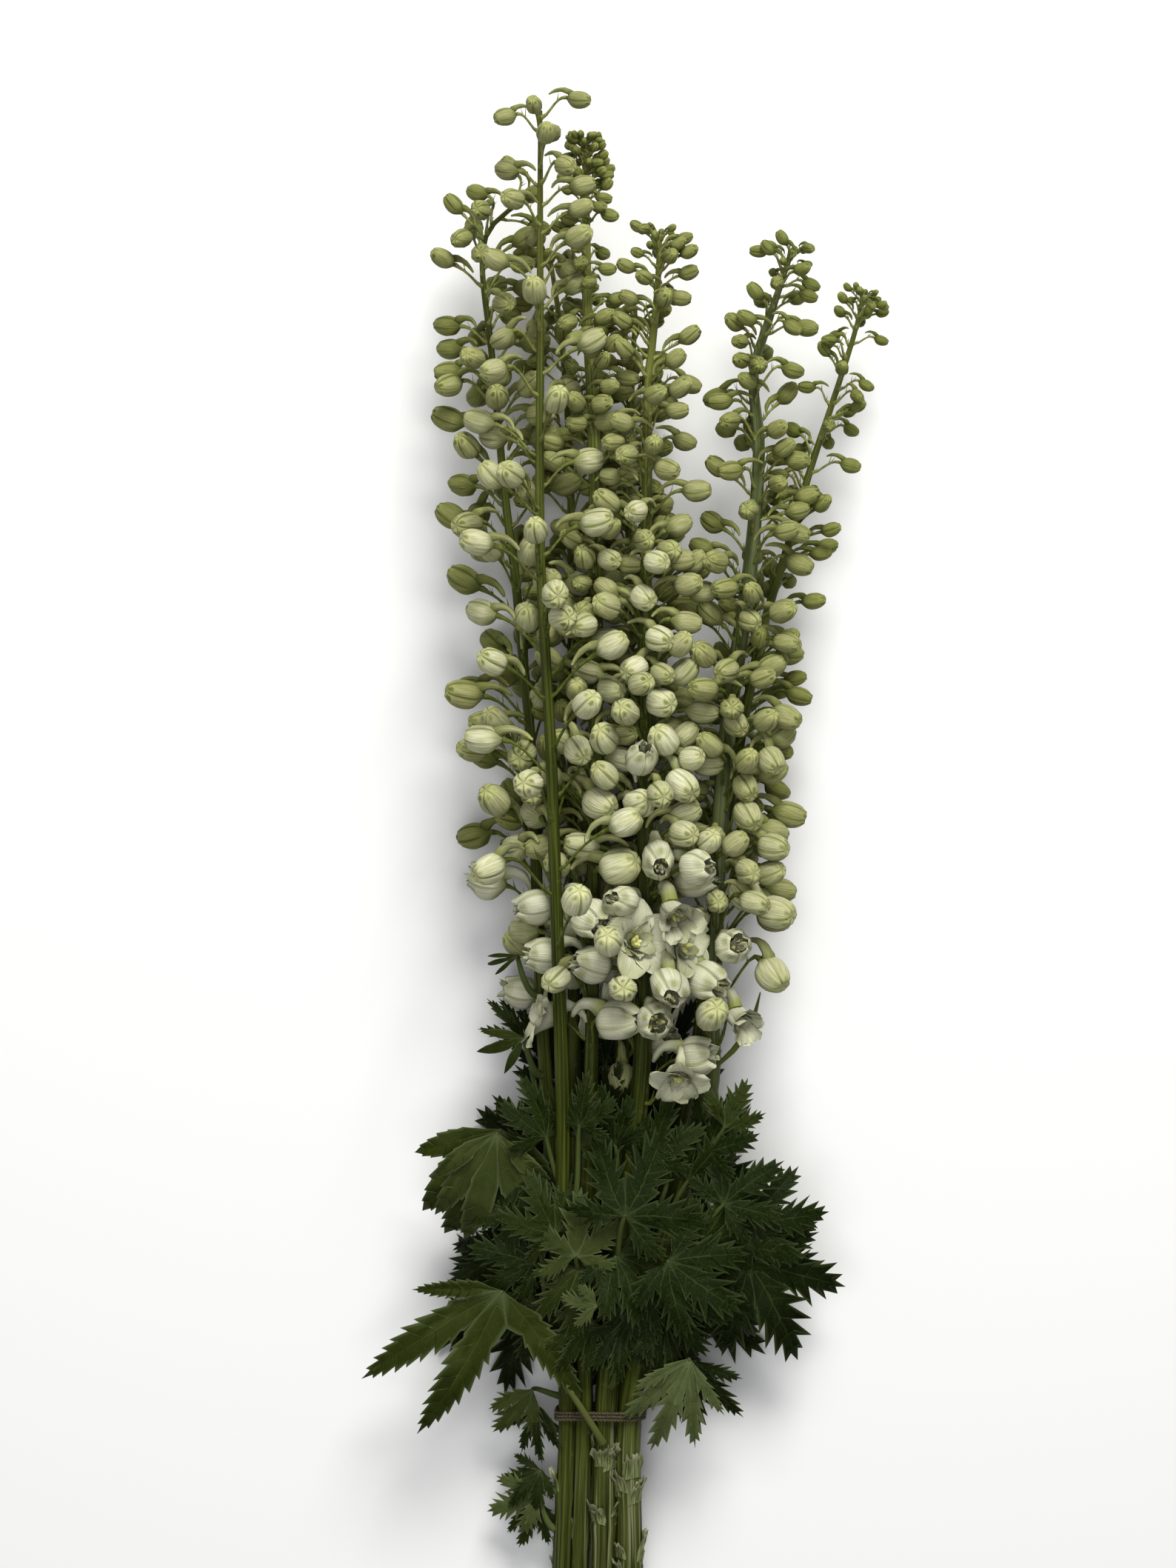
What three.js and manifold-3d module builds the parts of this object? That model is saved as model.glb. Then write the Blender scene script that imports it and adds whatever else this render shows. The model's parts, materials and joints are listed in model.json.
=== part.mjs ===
// A hand-tied bunch of eight white delphinium spikes, lying on a surface at z = 0.
// Lengths are in millimetres. +Y runs along the stems to the tips, +Z is up.
// The numbers below are measured from the tie, at y = 0; the last lines move the bunch so that its
// origin is under the middle of its bounding box.
import * as THREE from "three";
import { mergeVertices } from "three/addons/utils/BufferGeometryUtils.js";
import Module from "manifold-3d";

const wasm = await Module();
wasm.setup();

// ---- Driving dimensions ----

const SEAT_GAP = 0.3; // between a leaf's stalk and the stem that carries it
const FLORET_GAP = 0.5; // likewise of a floret
const STEM_SIDES = 6;
const STEM_STEP = 90; // most height between two rings of a stem
const TIP_RADIUS = 1.3;
const TAPER = 0.8; // 1 tapers evenly, less keeps the stem thick for longer

const GOLDEN_TURN = Math.PI * (3 - Math.sqrt(5)); // from one bud to the next round the stem
const TURN_SCATTER = 0.5; // radians, all in all
const CROWDING = 1.12; // over 1, buds stand closer together towards the tip
const GROWTH = 0.55; // power of the way down the spike at which buds gain their length
const LENGTH_SCATTER = [0.93, 1.07];
const STALK_SCATTER = [0.85, 1.15];
const BUD_PITCH = [-0.35, 0.75]; // radians that a bud points towards the tip of its spike
const BUD_FATNESS = 0.8; // width over length
const BUD_GIRTH = 0.54; // widest radius of a bud, over its width
const ROOT_DEPTH = 0.3; // how deep a stalk is sunk in, past the stem's axis, over the stem's radius
const COLLAR = 2.2; // how far out of the stem a stalk reaches its full thickness
const STALK_RADIUS = 0.9; // of a bud's stalk, at a full-grown bud
const STALK_BOW = [[0.72, 0.55], [1.1, 0.45]]; // radians off the stem, share of the stalk's length
const SPUR = [0.5, 0.34]; // how far back and up a spur ends, over the bud's length
const OPEN_FATNESS = 1.12; // of open florets
const OPEN_PITCH = 0.4; // share of the pitch that they keep
const OPEN_STALK = 0.6; // share of the stalk that they keep

const BUD_CLEARANCE = 1.1; // between buds of two spikes
const SWINGS = [0, 0.3, -0.3, 0.6, -0.6, 0.9, -0.9, 1.25, -1.25]; // radians tried to miss a neighbour
const REACHES = [1, 0.78, 1.22, 0.6]; // shares of the stalk's length tried

// Each spike: radius at the butt, then the points that its axis passes through, from butt to tip.
// low and top are the heights of its first and last bud, bud the lengths of its buds from the tip to
// the base, stalk their stalks' lengths likewise, open the count of florets open at the base.
const SPIKES = [
  {
    name: "spike_1", butt: 5.65, turn: 0.4, low: 296, top: 792,
    buds: 38, bud: [12.5, 21], stalk: [15, 38], open: 0,
    axis: [
      [-22, -172, 18], [-18.6, -84, 30.5], [-15.8, 0, 42], [-18.5, 100, 63], [-18, 192, 84],
      [-20.3, 273, 99], [-22.7, 344, 108], [-25, 416, 113], [-28, 464, 115], [-31.3, 535, 116],
      [-31.3, 670, 116], [-31.3, 796, 115],
    ],
  },
  {
    name: "spike_4", butt: 8, turn: 2.1, low: 214, top: 720,
    buds: 42, bud: [8.5, 22], stalk: [10, 32], open: 9,
    axis: [
      [5, -176, 22], [7, -84, 32.4], [8.4, 0, 41.8], [16, 100, 58], [30, 216, 80], [32, 360, 93],
      [32, 502, 96], [33, 569, 96], [34, 634, 95], [39, 686, 95], [41, 724, 95],
    ],
  },
  {
    name: "spike_3", butt: 5.65, turn: 1.2, low: 236, top: 780,
    buds: 46, bud: [5.4, 20.5], stalk: [4, 30], open: 6,
    axis: [
      [-10, -168, 18], [-7.5, -84, 30.6], [-5.2, 0, 42.2], [-3.5, 100, 56], [-0.5, 230, 74],
      [1.5, 400, 84], [2, 565, 86], [0.5, 617, 86], [-3, 680, 86], [-4.5, 783, 85],
    ],
  },
  {
    name: "spike_5", butt: 8.4, turn: 0.9, low: 282, top: 713,
    buds: 38, bud: [8.5, 20], stalk: [11, 30], open: 1,
    axis: [
      [22.2, -170, 22.4], [23, -84, 32.4], [23.5, 0, 42.5], [42, 100, 54], [71, 202, 70],
      [73, 254, 75], [77, 349, 80], [83.7, 435, 82], [96.7, 527, 82], [101.7, 598, 81],
      [98.5, 642, 80], [108, 676, 80], [122, 717, 80],
    ],
  },
  {
    name: "spike_2", butt: 5.65, turn: 3.3, low: 318, top: 748,
    buds: 35, bud: [12.5, 22], stalk: [15, 32], open: 2,
    axis: [
      [-22.5, -178, 4.6], [-18.6, -84, 17.8], [-15, 0, 30], [-22, 100, 39], [-31, 250, 52],
      [-38, 418, 64], [-43.6, 478, 67], [-47, 516, 69], [-53, 564, 70], [-62.5, 663, 70],
      [-67.5, 709, 70], [-64, 731, 70], [-51, 744, 71], [-39, 752, 72],
    ],
  },
  {
    name: "spike_6", butt: 6.1, turn: 5.2, low: 322, top: 688,
    buds: 35, bud: [6, 16.5], stalk: [8, 24], open: 0,
    axis: [
      [19.5, -175, 5], [19.8, -84, 17.4], [19.5, 0, 29], [36, 100, 39], [62, 210, 49], [80, 350, 56],
      [103, 478, 60], [125, 553, 62], [135, 588, 62], [149, 630, 62], [162, 671, 62], [167, 692, 62],
    ],
  },
  {
    name: "spike_7", butt: 5.4, turn: 1.7, low: 246, top: 721,
    buds: 30, bud: [9, 20], stalk: [12, 30], open: 3,
    axis: [
      [-10.5, -165, 4.4], [-7.5, -84, 17.2], [-4.4, 0, 28.8], [-8, 100, 33], [-11, 230, 36],
      [-12.5, 400, 41], [-13.5, 586, 44], [-17.5, 651, 44], [-20, 677, 44], [-27, 725, 44],
    ],
  },
  {
    name: "spike_8", butt: 6.6, turn: 4.4, low: 222, top: 686,
    buds: 31, bud: [9, 22], stalk: [12, 30], open: 6,
    axis: [
      [5.5, -173, 5.4], [6.6, -84, 17.6], [7.2, 0, 28.6], [13, 100, 33], [19, 230, 35], [22, 400, 38],
      [24, 620, 39], [27, 690, 39],
    ],
  },
];

// ---- Small helpers ----

const vector = (x, y, z) => new THREE.Vector3(x, y, z);
const degrees = THREE.MathUtils.degToRad;
const mix = (a, b, t) => a + (b - a) * t;
const along = (from, direction, length) => from.clone().addScaledVector(direction, length);

// A row of numbers in 0..1 that is the same on every run.
function dice(seed) {
  let state = seed;
  return () => {
    state = (state * 1664525 + 1013904223) % 4294967296;
    return state / 4294967296;
  };
}

// ---- Skins and solids ----

// The faces between two rings of points, which may differ in count. A ring of one point is a tip.
function bridge(a, b, faces) {
  if (a.length === 1) {
    b.forEach((q, j) => faces.push(a[0], b[(j + 1) % b.length], q));
    return;
  }
  if (b.length === 1) {
    a.forEach((p, i) => faces.push(p, a[(i + 1) % a.length], b[0]));
    return;
  }
  let i = 0;
  let j = 0;
  while (i < a.length || j < b.length) {
    const p = a[i % a.length];
    const q = b[j % b.length];
    if (j === b.length || (i < a.length && (i + 1) / a.length <= (j + 1) / b.length)) {
      i += 1;
      faces.push(p, a[i % a.length], q);
    } else {
      j += 1;
      faces.push(p, b[j % b.length], q);
    }
  }
}

// A closed skin over rings of points, each turning anticlockwise seen from the last ring.
function skin(rings) {
  const points = rings.flat();
  const numbers = [];
  let next = 0;
  for (const ring of rings) numbers.push(ring.map(() => next++));
  const faces = [];
  for (let i = 1; i < rings.length; i++) bridge(numbers[i - 1], numbers[i], faces);
  const first = numbers[0];
  const last = numbers[numbers.length - 1];
  for (let i = 2; i < first.length; i++) faces.push(first[0], first[i], first[i - 1]);
  for (let i = 2; i < last.length; i++) faces.push(last[0], last[i - 1], last[i]);
  return { points, faces };
}

// A ring of points round a centre, starting at up and turning towards side.
function ring(centre, side, up, radius, count) {
  return Array.from({ length: count }, (_, i) => {
    const angle = (2 * Math.PI * i) / count;
    return along(along(centre, up, radius * Math.cos(angle)), side, radius * Math.sin(angle));
  });
}

function geometryOf({ points, faces }) {
  return new THREE.BufferGeometry().setFromPoints(points).setIndex(faces);
}

function solidOf(geometry) {
  const bare = new THREE.BufferGeometry().setAttribute("position", geometry.getAttribute("position"));
  bare.setIndex(geometry.index);
  const merged = mergeVertices(bare, 1e-4);
  return new wasm.Manifold(
    new wasm.Mesh({
      numProp: 3,
      vertProperties: new Float32Array(merged.attributes.position.array),
      triVerts: new Uint32Array(merged.index.array),
    }),
  );
}

function geometryFrom(solid) {
  const mesh = solid.getMesh();
  const positions = new THREE.BufferAttribute(new Float32Array(mesh.vertProperties), 3);
  const geometry = new THREE.BufferGeometry().setAttribute("position", positions);
  geometry.setIndex(new THREE.BufferAttribute(new Uint32Array(mesh.triVerts), 1));
  geometry.computeVertexNormals();
  return geometry;
}

// What would reach below the surface that the bunch lies on is pressed flat there.
const GROUND_SIZE = 3000;
const groundBox = new THREE.BoxGeometry(GROUND_SIZE, GROUND_SIZE, GROUND_SIZE);
const ground = solidOf(groundBox.translate(0, 0, -GROUND_SIZE / 2));
const pressed = (solid) => (solid.boundingBox().min[2] < 0 ? solid.subtract(ground) : solid);

// ---- Stems ----

// The point of a stem's axis at a height, on a smooth curve through its points.
function axisAt({ axis }, y) {
  let i = 0;
  while (i < axis.length - 2 && axis[i + 1][1] < y) i += 1;
  const [p, q] = [axis[i], axis[i + 1]];
  const before = axis[Math.max(i - 1, 0)];
  const after = axis[Math.min(i + 2, axis.length - 1)];
  const span = q[1] - p[1];
  const t = Math.min(Math.max((y - p[1]) / span, 0), 1);
  const part = (k) => {
    const slopeIn = ((q[k] - before[k]) / (q[1] - before[1])) * span;
    const slopeOut = ((after[k] - p[k]) / (after[1] - p[1])) * span;
    const rest = 1 - t;
    return (
      p[k] * (1 + 2 * t) * rest * rest + slopeIn * t * rest * rest +
      q[k] * t * t * (3 - 2 * t) - slopeOut * t * t * rest
    );
  };
  return vector(part(0), mix(p[1], q[1], t), part(2));
}

function stemFrame(spike, y) {
  const centre = axisAt(spike, y);
  const forward = axisAt(spike, y + 2).sub(axisAt(spike, y - 2)).normalize();
  const side = forward.clone().cross(vector(0, 0, 1)).normalize();
  return { centre, forward, side, up: side.clone().cross(forward) };
}

function stemRadius(spike, y) {
  const bottom = spike.axis[0][1];
  const top = spike.axis[spike.axis.length - 1][1];
  const left = Math.min(Math.max((top - y) / (top - bottom), 0), 1);
  return TIP_RADIUS + (spike.butt - TIP_RADIUS) * Math.pow(left, TAPER);
}

// How far out the skin of a stem is in the direction of a turn: nearer on its sides than at its edges.
function skinRadius(spike, y, turn) {
  const half = Math.PI / STEM_SIDES;
  const off = turn - 2 * half * Math.round(turn / (2 * half));
  return (stemRadius(spike, y) * Math.cos(half)) / Math.cos(off);
}

// The heights of a stem's rings: at its axis points, and between those that are far apart.
function ringHeights({ axis }) {
  const heights = [axis[0][1]];
  for (let i = 1; i < axis.length; i++) {
    const [low, high] = [axis[i - 1][1], axis[i][1]];
    const steps = Math.ceil((high - low) / STEM_STEP);
    for (let k = 1; k <= steps; k++) heights.push(mix(low, high, k / steps));
  }
  return heights;
}

function stemSkin(spike) {
  const rings = ringHeights(spike).map((y) => {
    const { centre, side, up } = stemFrame(spike, y);
    return ring(centre, side, up, stemRadius(spike, y), STEM_SIDES);
  });
  return skin(rings);
}

// ---- Keeping buds clear of their neighbours ----

// The shortest distance between the segments a-b and c-d.
function segmentGap(a, b, c, d) {
  const u = b.clone().sub(a);
  const v = d.clone().sub(c);
  const w = a.clone().sub(c);
  const [uu, uv, vv, uw, vw] = [u.dot(u), u.dot(v), v.dot(v), u.dot(w), v.dot(w)];
  const clamp = (x) => Math.min(Math.max(x, 0), 1);
  const spread = uu * vv - uv * uv;
  let s = spread > 1e-9 ? clamp((uv * vw - vv * uw) / spread) : 0;
  const t = clamp((uv * s + vw) / vv);
  s = clamp((uv * t - uw) / uu);
  return along(a, u, s).distanceTo(along(c, v, t));
}

// A rounded rod, as buds, stalks and stems are taken to be while neighbours are kept apart.
function rod(owner, kind, a, b, radius) {
  const middle = a.clone().add(b).multiplyScalar(0.5);
  return { owner, kind, a, b, radius, middle, reach: a.distanceTo(b) / 2 + radius };
}

function rodGap(p, q) {
  const far = p.middle.distanceTo(q.middle) - p.reach - q.reach;
  return far > BUD_CLEARANCE ? far : segmentGap(p.a, p.b, q.a, q.b) - p.radius - q.radius;
}

function isClear(rods, taken) {
  for (const mine of rods) {
    if (Math.min(mine.a.z, mine.b.z) < mine.radius) return false;
    for (const other of taken) {
      if (mine.owner !== other.owner) {
        if (rodGap(mine, other) < BUD_CLEARANCE) return false;
      } else if (mine.kind === "bud" && rodGap(mine, other) < 0) return false;
    }
  }
  return true;
}

// ---- Buds ----

// Where one bud stands: the points of its stalk, its axis, its upper side, its size and its spur.
function placeBud(spike, y, turn, pitch, length, stalk, fatness) {
  const { centre, forward, side, up } = stemFrame(spike, y);
  const out = along(side.clone().multiplyScalar(Math.cos(turn)), up, Math.sin(turn));
  const radius = stemRadius(spike, y);
  const lean = (angle) => along(forward.clone().multiplyScalar(Math.cos(angle)), out, Math.sin(angle));
  const root = along(centre, out, -ROOT_DEPTH * radius);
  const collar = along(along(centre, out, radius + COLLAR), forward, 0.5 * COLLAR);
  const neck = STALK_BOW.reduce((from, [angle, part]) => along(from, lean(angle), part * stalk), collar);
  const direction = along(out.clone().multiplyScalar(Math.cos(pitch)), forward, Math.sin(pitch));
  const crown = along(forward.clone().multiplyScalar(Math.cos(pitch)), out, -Math.sin(pitch));
  const width = length * fatness;
  const spur = along(along(neck, direction, -SPUR[0] * length), crown, SPUR[1] * length);
  const seat = along(centre, out, skinRadius(spike, y, turn) + FLORET_GAP);
  return { root, seat, collar, neck, out, forward, direction, crown, length, width, spur };
}

function budRods(owner, bud) {
  const { neck, direction, length, width } = bud;
  const half = BUD_GIRTH * width;
  const [base, tip] = [along(neck, direction, half), along(neck, direction, length - half)];
  return [
    rod(owner, "stalk", bud.collar, neck, STALK_RADIUS),
    rod(owner, "bud", base, tip, half),
    rod(owner, "spur", neck, bud.spur, STALK_RADIUS),
  ];
}

// Every bud of a spike, from the lowest up. A bud that would cross a neighbour swings round the stem
// or comes out on a shorter or longer stalk; where nothing is clear, none grows.
function growBuds(spike, number, taken) {
  const roll = dice(1000 + 77 * number);
  const grown = [];
  for (let k = spike.buds - 1; k >= 0; k--) {
    const share = k / (spike.buds - 1);
    const isOpen = k >= spike.buds - spike.open;
    const y = mix(spike.top, spike.low, Math.pow(share, CROWDING));
    const turn = spike.turn + k * GOLDEN_TURN + (roll() - 0.5) * TURN_SCATTER;
    const pitch = mix(...BUD_PITCH, roll()) * (isOpen ? OPEN_PITCH : 1);
    const length = mix(...spike.bud, Math.pow(share, GROWTH)) * mix(...LENGTH_SCATTER, roll());
    const stalk = mix(...spike.stalk, share) * mix(...STALK_SCATTER, roll()) * (isOpen ? OPEN_STALK : 1);
    const fatness = isOpen ? OPEN_FATNESS : BUD_FATNESS;
    let rods = null;
    let bud = null;
    for (const swing of SWINGS) {
      for (const reach of REACHES) {
        bud = placeBud(spike, y, turn + swing, pitch, length, stalk * reach, fatness);
        rods = budRods(spike.name, bud);
        if (isClear(rods, taken)) break;
        rods = null;
      }
      if (rods) break;
    }
    if (!rods) continue;
    taken.push(...rods);
    const openness = (k - spike.buds + spike.open + 1) / Math.max(spike.open, 1);
    grown.push({ ...bud, isOpen, openness });
  }
  return grown;
}

const BUD_SIDES = 5;
const SMALL_BUD_SIDES = 4;
const STALK_SIDES = 3;
const SMALL_BUD = 10.5; // buds shorter than this have the simplest skin
const LARGE_BUD = 17.5; // buds longer than this have the fullest skin
const BELLIES = [[0.27, 0.5], [0.7, 0.46]]; // of a large bud: share of its length, radius over its width
const BELLY = [0.45, BUD_GIRTH]; // of a smaller one

// A stalk's rings where it has come out of the stem and where it meets the bud.
function stalkRings({ out, forward, collar, neck, direction, crown }, radius) {
  const rise = neck.clone().sub(collar).normalize();
  const up = forward.clone().addScaledVector(rise, -forward.dot(rise)).normalize();
  return [
    ring(collar, rise.clone().cross(up), up, radius, STALK_SIDES),
    ring(neck, direction.clone().cross(crown), crown, radius * 1.25, STALK_SIDES),
  ];
}

// A closed bud on its stalk: swelling sepals, a pointed tip, and a spur drawn back from its crown.
function budSkin(bud) {
  const { neck, direction, crown, length, width } = bud;
  const across = direction.clone().cross(crown);
  const radius = Math.min(STALK_RADIUS, 0.5 + length * 0.025);
  const isSmall = length < SMALL_BUD;
  const rings = [[bud.root], ...stalkRings(bud, radius)];
  for (const [share, girth] of length > LARGE_BUD ? BELLIES : [BELLY]) {
    const middle = along(neck, direction, share * length);
    rings.push(ring(middle, across, crown, girth * width, isSmall ? SMALL_BUD_SIDES : BUD_SIDES));
  }
  rings.push([along(neck, direction, length)]);
  const { points, faces } = skin(rings);
  return isSmall ? { points, faces } : withSpur(points, faces, bud, rings);
}

// Draws the faces behind a bud's crown back to a point, as its spur.
function withSpur(points, faces, bud, rings) {
  const neckRing = rings.findIndex((one) => one.length === BUD_SIDES) - 1;
  const neck = rings.slice(0, neckRing).reduce((sum, one) => sum + one.length, 0);
  const middle = neck + STALK_SIDES;
  const [right, left] = [middle + 1, middle + BUD_SIDES - 1];
  const isBehind = (face) => face.includes(neck) && face.includes(middle);
  const kept = [];
  for (let i = 0; i < faces.length; i += 3) {
    const face = faces.slice(i, i + 3);
    if (!isBehind(face)) kept.push(...face);
  }
  const tip = points.length;
  kept.push(neck, right, tip, right, middle, tip, middle, left, tip, left, neck, tip);
  return { points: [...points, bud.spur], faces: kept };
}

// ---- Open florets ----

// Heights over the floret's length and radii over its width, of half-open and wide open florets.
const SEPAL_TIP = { height: [1, 0.72], reach: [0.4, 0.66] };
const SEPAL_GAP = { height: [0.72, 0.5], reach: [0.42, 0.5] };
const CUP = [0.3, 0.44]; // outside of the cup
const CUP_INSIDE = [0.42, 0.3];
const INNER_PETALS = [0.74, 0.2];
const EYE = 0.52; // between the inner petals

// A floret on its stalk: five sepals as a cup with pointed rim, round a crown of inner petals.
function floretSkin(floret) {
  const { seat, out, forward, neck, direction, crown, length, width, openness } = floret;
  const across = direction.clone().cross(crown);
  const at = ([share, girth]) =>
    ring(along(neck, direction, share * length), across, crown, girth * width, BUD_SIDES);
  const rim = ring(neck, across, crown, 1, 2 * BUD_SIDES).map((spoke, i) => {
    const { height, reach } = i % 2 === 0 ? SEPAL_TIP : SEPAL_GAP;
    const base = along(neck, spoke.sub(neck), mix(...reach, openness) * width);
    return along(base, direction, mix(...height, openness) * length);
  });
  return skin([
    ring(seat, out.clone().cross(forward), forward, STALK_RADIUS, STALK_SIDES),
    ...stalkRings(floret, STALK_RADIUS),
    at(CUP),
    rim,
    at(CUP_INSIDE),
    at(INNER_PETALS),
    [along(neck, direction, EYE * length)],
  ]);
}

const STEM_ROD = 30; // length of the rods that stems are taken to be
const taken = [];
for (const spike of SPIKES) {
  const bottom = spike.axis[0][1];
  const top = spike.axis[spike.axis.length - 1][1];
  for (let y = bottom; y < top - 1; y += STEM_ROD) {
    const end = Math.min(y + STEM_ROD, top);
    taken.push(rod(spike.name, "stem", axisAt(spike, y), axisAt(spike, end), stemRadius(spike, y)));
  }
}
SPIKES.forEach((spike, number) => {
  spike.grown = growBuds(spike, number, taken);
});

// ---- Leaves ----

const LEAF_THICKNESS = 1.1; // along the midribs
const PETIOLE_RADIUS = [2.1, 1.3]; // at the stem and at the blade
const LOBE_HALF_TURN = 22.5; // degrees that half a lobe takes up; gathered lobes are made narrower
const LOBES = {
  5: [[-122, 0.62], [-62, 0.88], [0, 1], [62, 0.88], [122, 0.62]], // turn in degrees, share of the length
  4: [[-72, 0.5], [-37, 0.96], [0, 1], [62, 0.84]],
  3: [[-52, 0.8], [0, 1], [52, 0.8]],
};
// Half the outline of a lobe, from its shoulder to its tip: share of its length, half width.
const LOBE_EDGE = [[0.4, 0.12], [0.6, 0.23], [0.6, 0.13], [0.82, 0.15], [0.8, 0.07]];
const EDGE_START = 0.2; // where a lobe's edge sets out, level with the cuts between lobes
const RIB = [0.38, 0.7]; // the midrib's points between hub and tip, over the lobe's length
const SINUS = 0.22; // how near the hub the cuts between lobes reach
const HUB = 0.1; // where the midribs part, from the joint with the petiole
const HUB_THICKNESS = 1.65;
const WAVE = 0.045; // height of the blade's waves, over its length
const WAVES = 5; // of them round the blade

// Each leaf: the spike that carries it, the height of its root (and its turn round the stem, where it
// doesn't face the blade), its joint with the petiole, the way its middle lobe points (heading from +X
// in degrees, pitch up, roll), its length, how wide its lobes spread, how far it droops in degrees,
// and the count of its lobes.
const LEAVES = [
  {
    name: "leaf_left_drooping", on: "spike_2", root: 118, joint: [-56, 181, 76],
    heading: 254, pitch: -8, roll: 8, size: 92, spread: 0.5, droop: 45, lobes: 5,
  },
  {
    name: "leaf_left_large", on: "spike_4", root: -16, around: 104, joint: [-55, 83, 82],
    heading: 246, pitch: -2, roll: 8, size: 110, spread: 1, droop: 25, lobes: 4,
  },
  {
    name: "leaf_centre", on: "spike_4", root: 94, joint: [20, 130, 94],
    heading: 60, pitch: 6, roll: 0, size: 62, spread: 0.95, droop: 25, lobes: 5,
  },
  {
    name: "leaf_centre_olive", on: "spike_3", root: 88, joint: [-10, 104, 84],
    heading: 90, pitch: 2, roll: 0, size: 43, spread: 0.9, droop: 15, lobes: 5,
  },
  {
    name: "leaf_centre_curled", on: "spike_3", root: 66, joint: [3, 74, 85],
    heading: 172, pitch: 4, roll: 0, size: 24, spread: 0.9, droop: 12, lobes: 3,
  },
  {
    name: "leaf_centre_low", on: "spike_4", root: 34, joint: [31, 84, 70],
    heading: 252, pitch: -2, roll: 0, size: 62, spread: 0.33, droop: 12, lobes: 5,
  },
  {
    name: "leaf_right_grey", on: "spike_5", root: 10, joint: [60, 39, 67],
    heading: 250, pitch: -2, roll: 0, size: 68, spread: 0.36, droop: 25, lobes: 5,
  },
  {
    name: "leaf_right_tip", on: "spike_5", root: 86, joint: [98, 126, 76],
    heading: 358, pitch: 0, roll: 0, size: 50, spread: 0.8, droop: 30, lobes: 5,
  },
  {
    name: "leaf_right_outer", on: "spike_5", root: 45, joint: [96, 98, 66],
    heading: 302, pitch: -4, roll: 0, size: 78, spread: 0.7, droop: 35, lobes: 5,
  },
  {
    name: "leaf_right_inner", on: "spike_5", root: 84, joint: [46, 102, 88],
    heading: 322, pitch: 0, roll: 0, size: 60, spread: 0.75, droop: 25, lobes: 5,
  },
  {
    name: "leaf_right_dark", on: "spike_5", root: 28, joint: [80, 74, 46],
    heading: 236, pitch: 0, roll: 0, size: 40, spread: 0.9, droop: 20, lobes: 3,
  },
  {
    name: "leaf_right_small", on: "spike_4", root: 105, joint: [46, 152, 86],
    heading: 86, pitch: 8, roll: 0, size: 24, spread: 0.7, droop: 10, lobes: 3,
  },
  {
    name: "leaf_right_upper", on: "spike_5", root: 166, joint: [80, 183, 92],
    heading: 62, pitch: 10, roll: 0, size: 34, spread: 0.9, droop: 15, lobes: 3,
  },
  {
    name: "leaf_right_high", on: "spike_5", root: 98, joint: [80, 136, 86],
    heading: 42, pitch: 2, roll: 0, size: 46, spread: 0.85, droop: 18, lobes: 5,
  },
  {
    name: "leaf_centre_upright", on: "spike_3", root: 100, joint: [4, 152, 78],
    heading: 86, pitch: 8, roll: 0, size: 56, spread: 0.45, droop: 4, lobes: 3,
  },
  {
    name: "leaf_left_narrow_high", on: "spike_2", root: 262, joint: [-46, 286, 62],
    heading: 196, pitch: 10, roll: 0, size: 32, spread: 0.4, droop: 110, lobes: 3,
  },
  {
    name: "leaf_left_narrow_low", on: "spike_2", root: 212, joint: [-42, 236, 62],
    heading: 205, pitch: 0, roll: 0, size: 36, spread: 0.7, droop: 50, lobes: 3,
  },
  {
    name: "leaf_left_side", on: "spike_2", root: 84, joint: [-52, 118, 34],
    heading: 172, pitch: 0, roll: 0, size: 44, spread: 0.8, droop: 30, lobes: 3,
  },
  {
    name: "leaf_tie_left", on: "spike_2", root: 10, joint: [-37, 16, 44],
    heading: 238, pitch: -4, roll: 0, size: 40, spread: 0.7, droop: 25, lobes: 3,
  },
  {
    name: "leaf_butt_left", on: "spike_1", root: -74, joint: [-33, -52, 34],
    heading: 200, pitch: 0, roll: 0, size: 38, spread: 0.9, droop: 35, lobes: 3,
  },
  {
    name: "leaf_under_left", on: "spike_2", root: 26, joint: [-38, 66, 12],
    heading: 196, pitch: 0, roll: 0, size: 72, spread: 0.8, droop: 12, lobes: 5,
  },
  {
    name: "leaf_under_left_high", on: "spike_7", root: 88, joint: [-24, 150, 10],
    heading: 148, pitch: 0, roll: 0, size: 62, spread: 0.8, droop: 10, lobes: 5,
  },
  {
    name: "leaf_under_low", on: "spike_8", root: 14, joint: [10, 50, 8],
    heading: 272, pitch: 0, roll: 0, size: 56, spread: 0.7, droop: 6, lobes: 5,
  },
  {
    name: "leaf_under_middle", on: "spike_8", root: 76, joint: [8, 122, 8],
    heading: 84, pitch: 0, roll: 0, size: 60, spread: 0.6, droop: 6, lobes: 3,
  },
  {
    name: "leaf_under_right", on: "spike_6", root: 22, joint: [50, 80, 12],
    heading: 322, pitch: 0, roll: 0, size: 78, spread: 0.8, droop: 12, lobes: 5,
  },
  {
    name: "leaf_under_right_high", on: "spike_6", root: 92, joint: [56, 150, 12],
    heading: 36, pitch: 0, roll: 0, size: 60, spread: 0.8, droop: 10, lobes: 5,
  },
];

function leafFrame({ heading, pitch, roll }) {
  const [turn, rise, tip] = [heading, pitch, roll].map(degrees);
  const forward = vector(Math.cos(turn) * Math.cos(rise), Math.sin(turn) * Math.cos(rise), Math.sin(rise));
  const flat = vector(-Math.cos(turn) * Math.sin(rise), -Math.sin(turn) * Math.sin(rise), Math.cos(rise));
  const left = flat.clone().cross(forward);
  const face = along(flat.clone().multiplyScalar(Math.cos(tip)), left, Math.sin(tip));
  return { forward, face, left: face.clone().cross(forward) };
}

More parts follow.
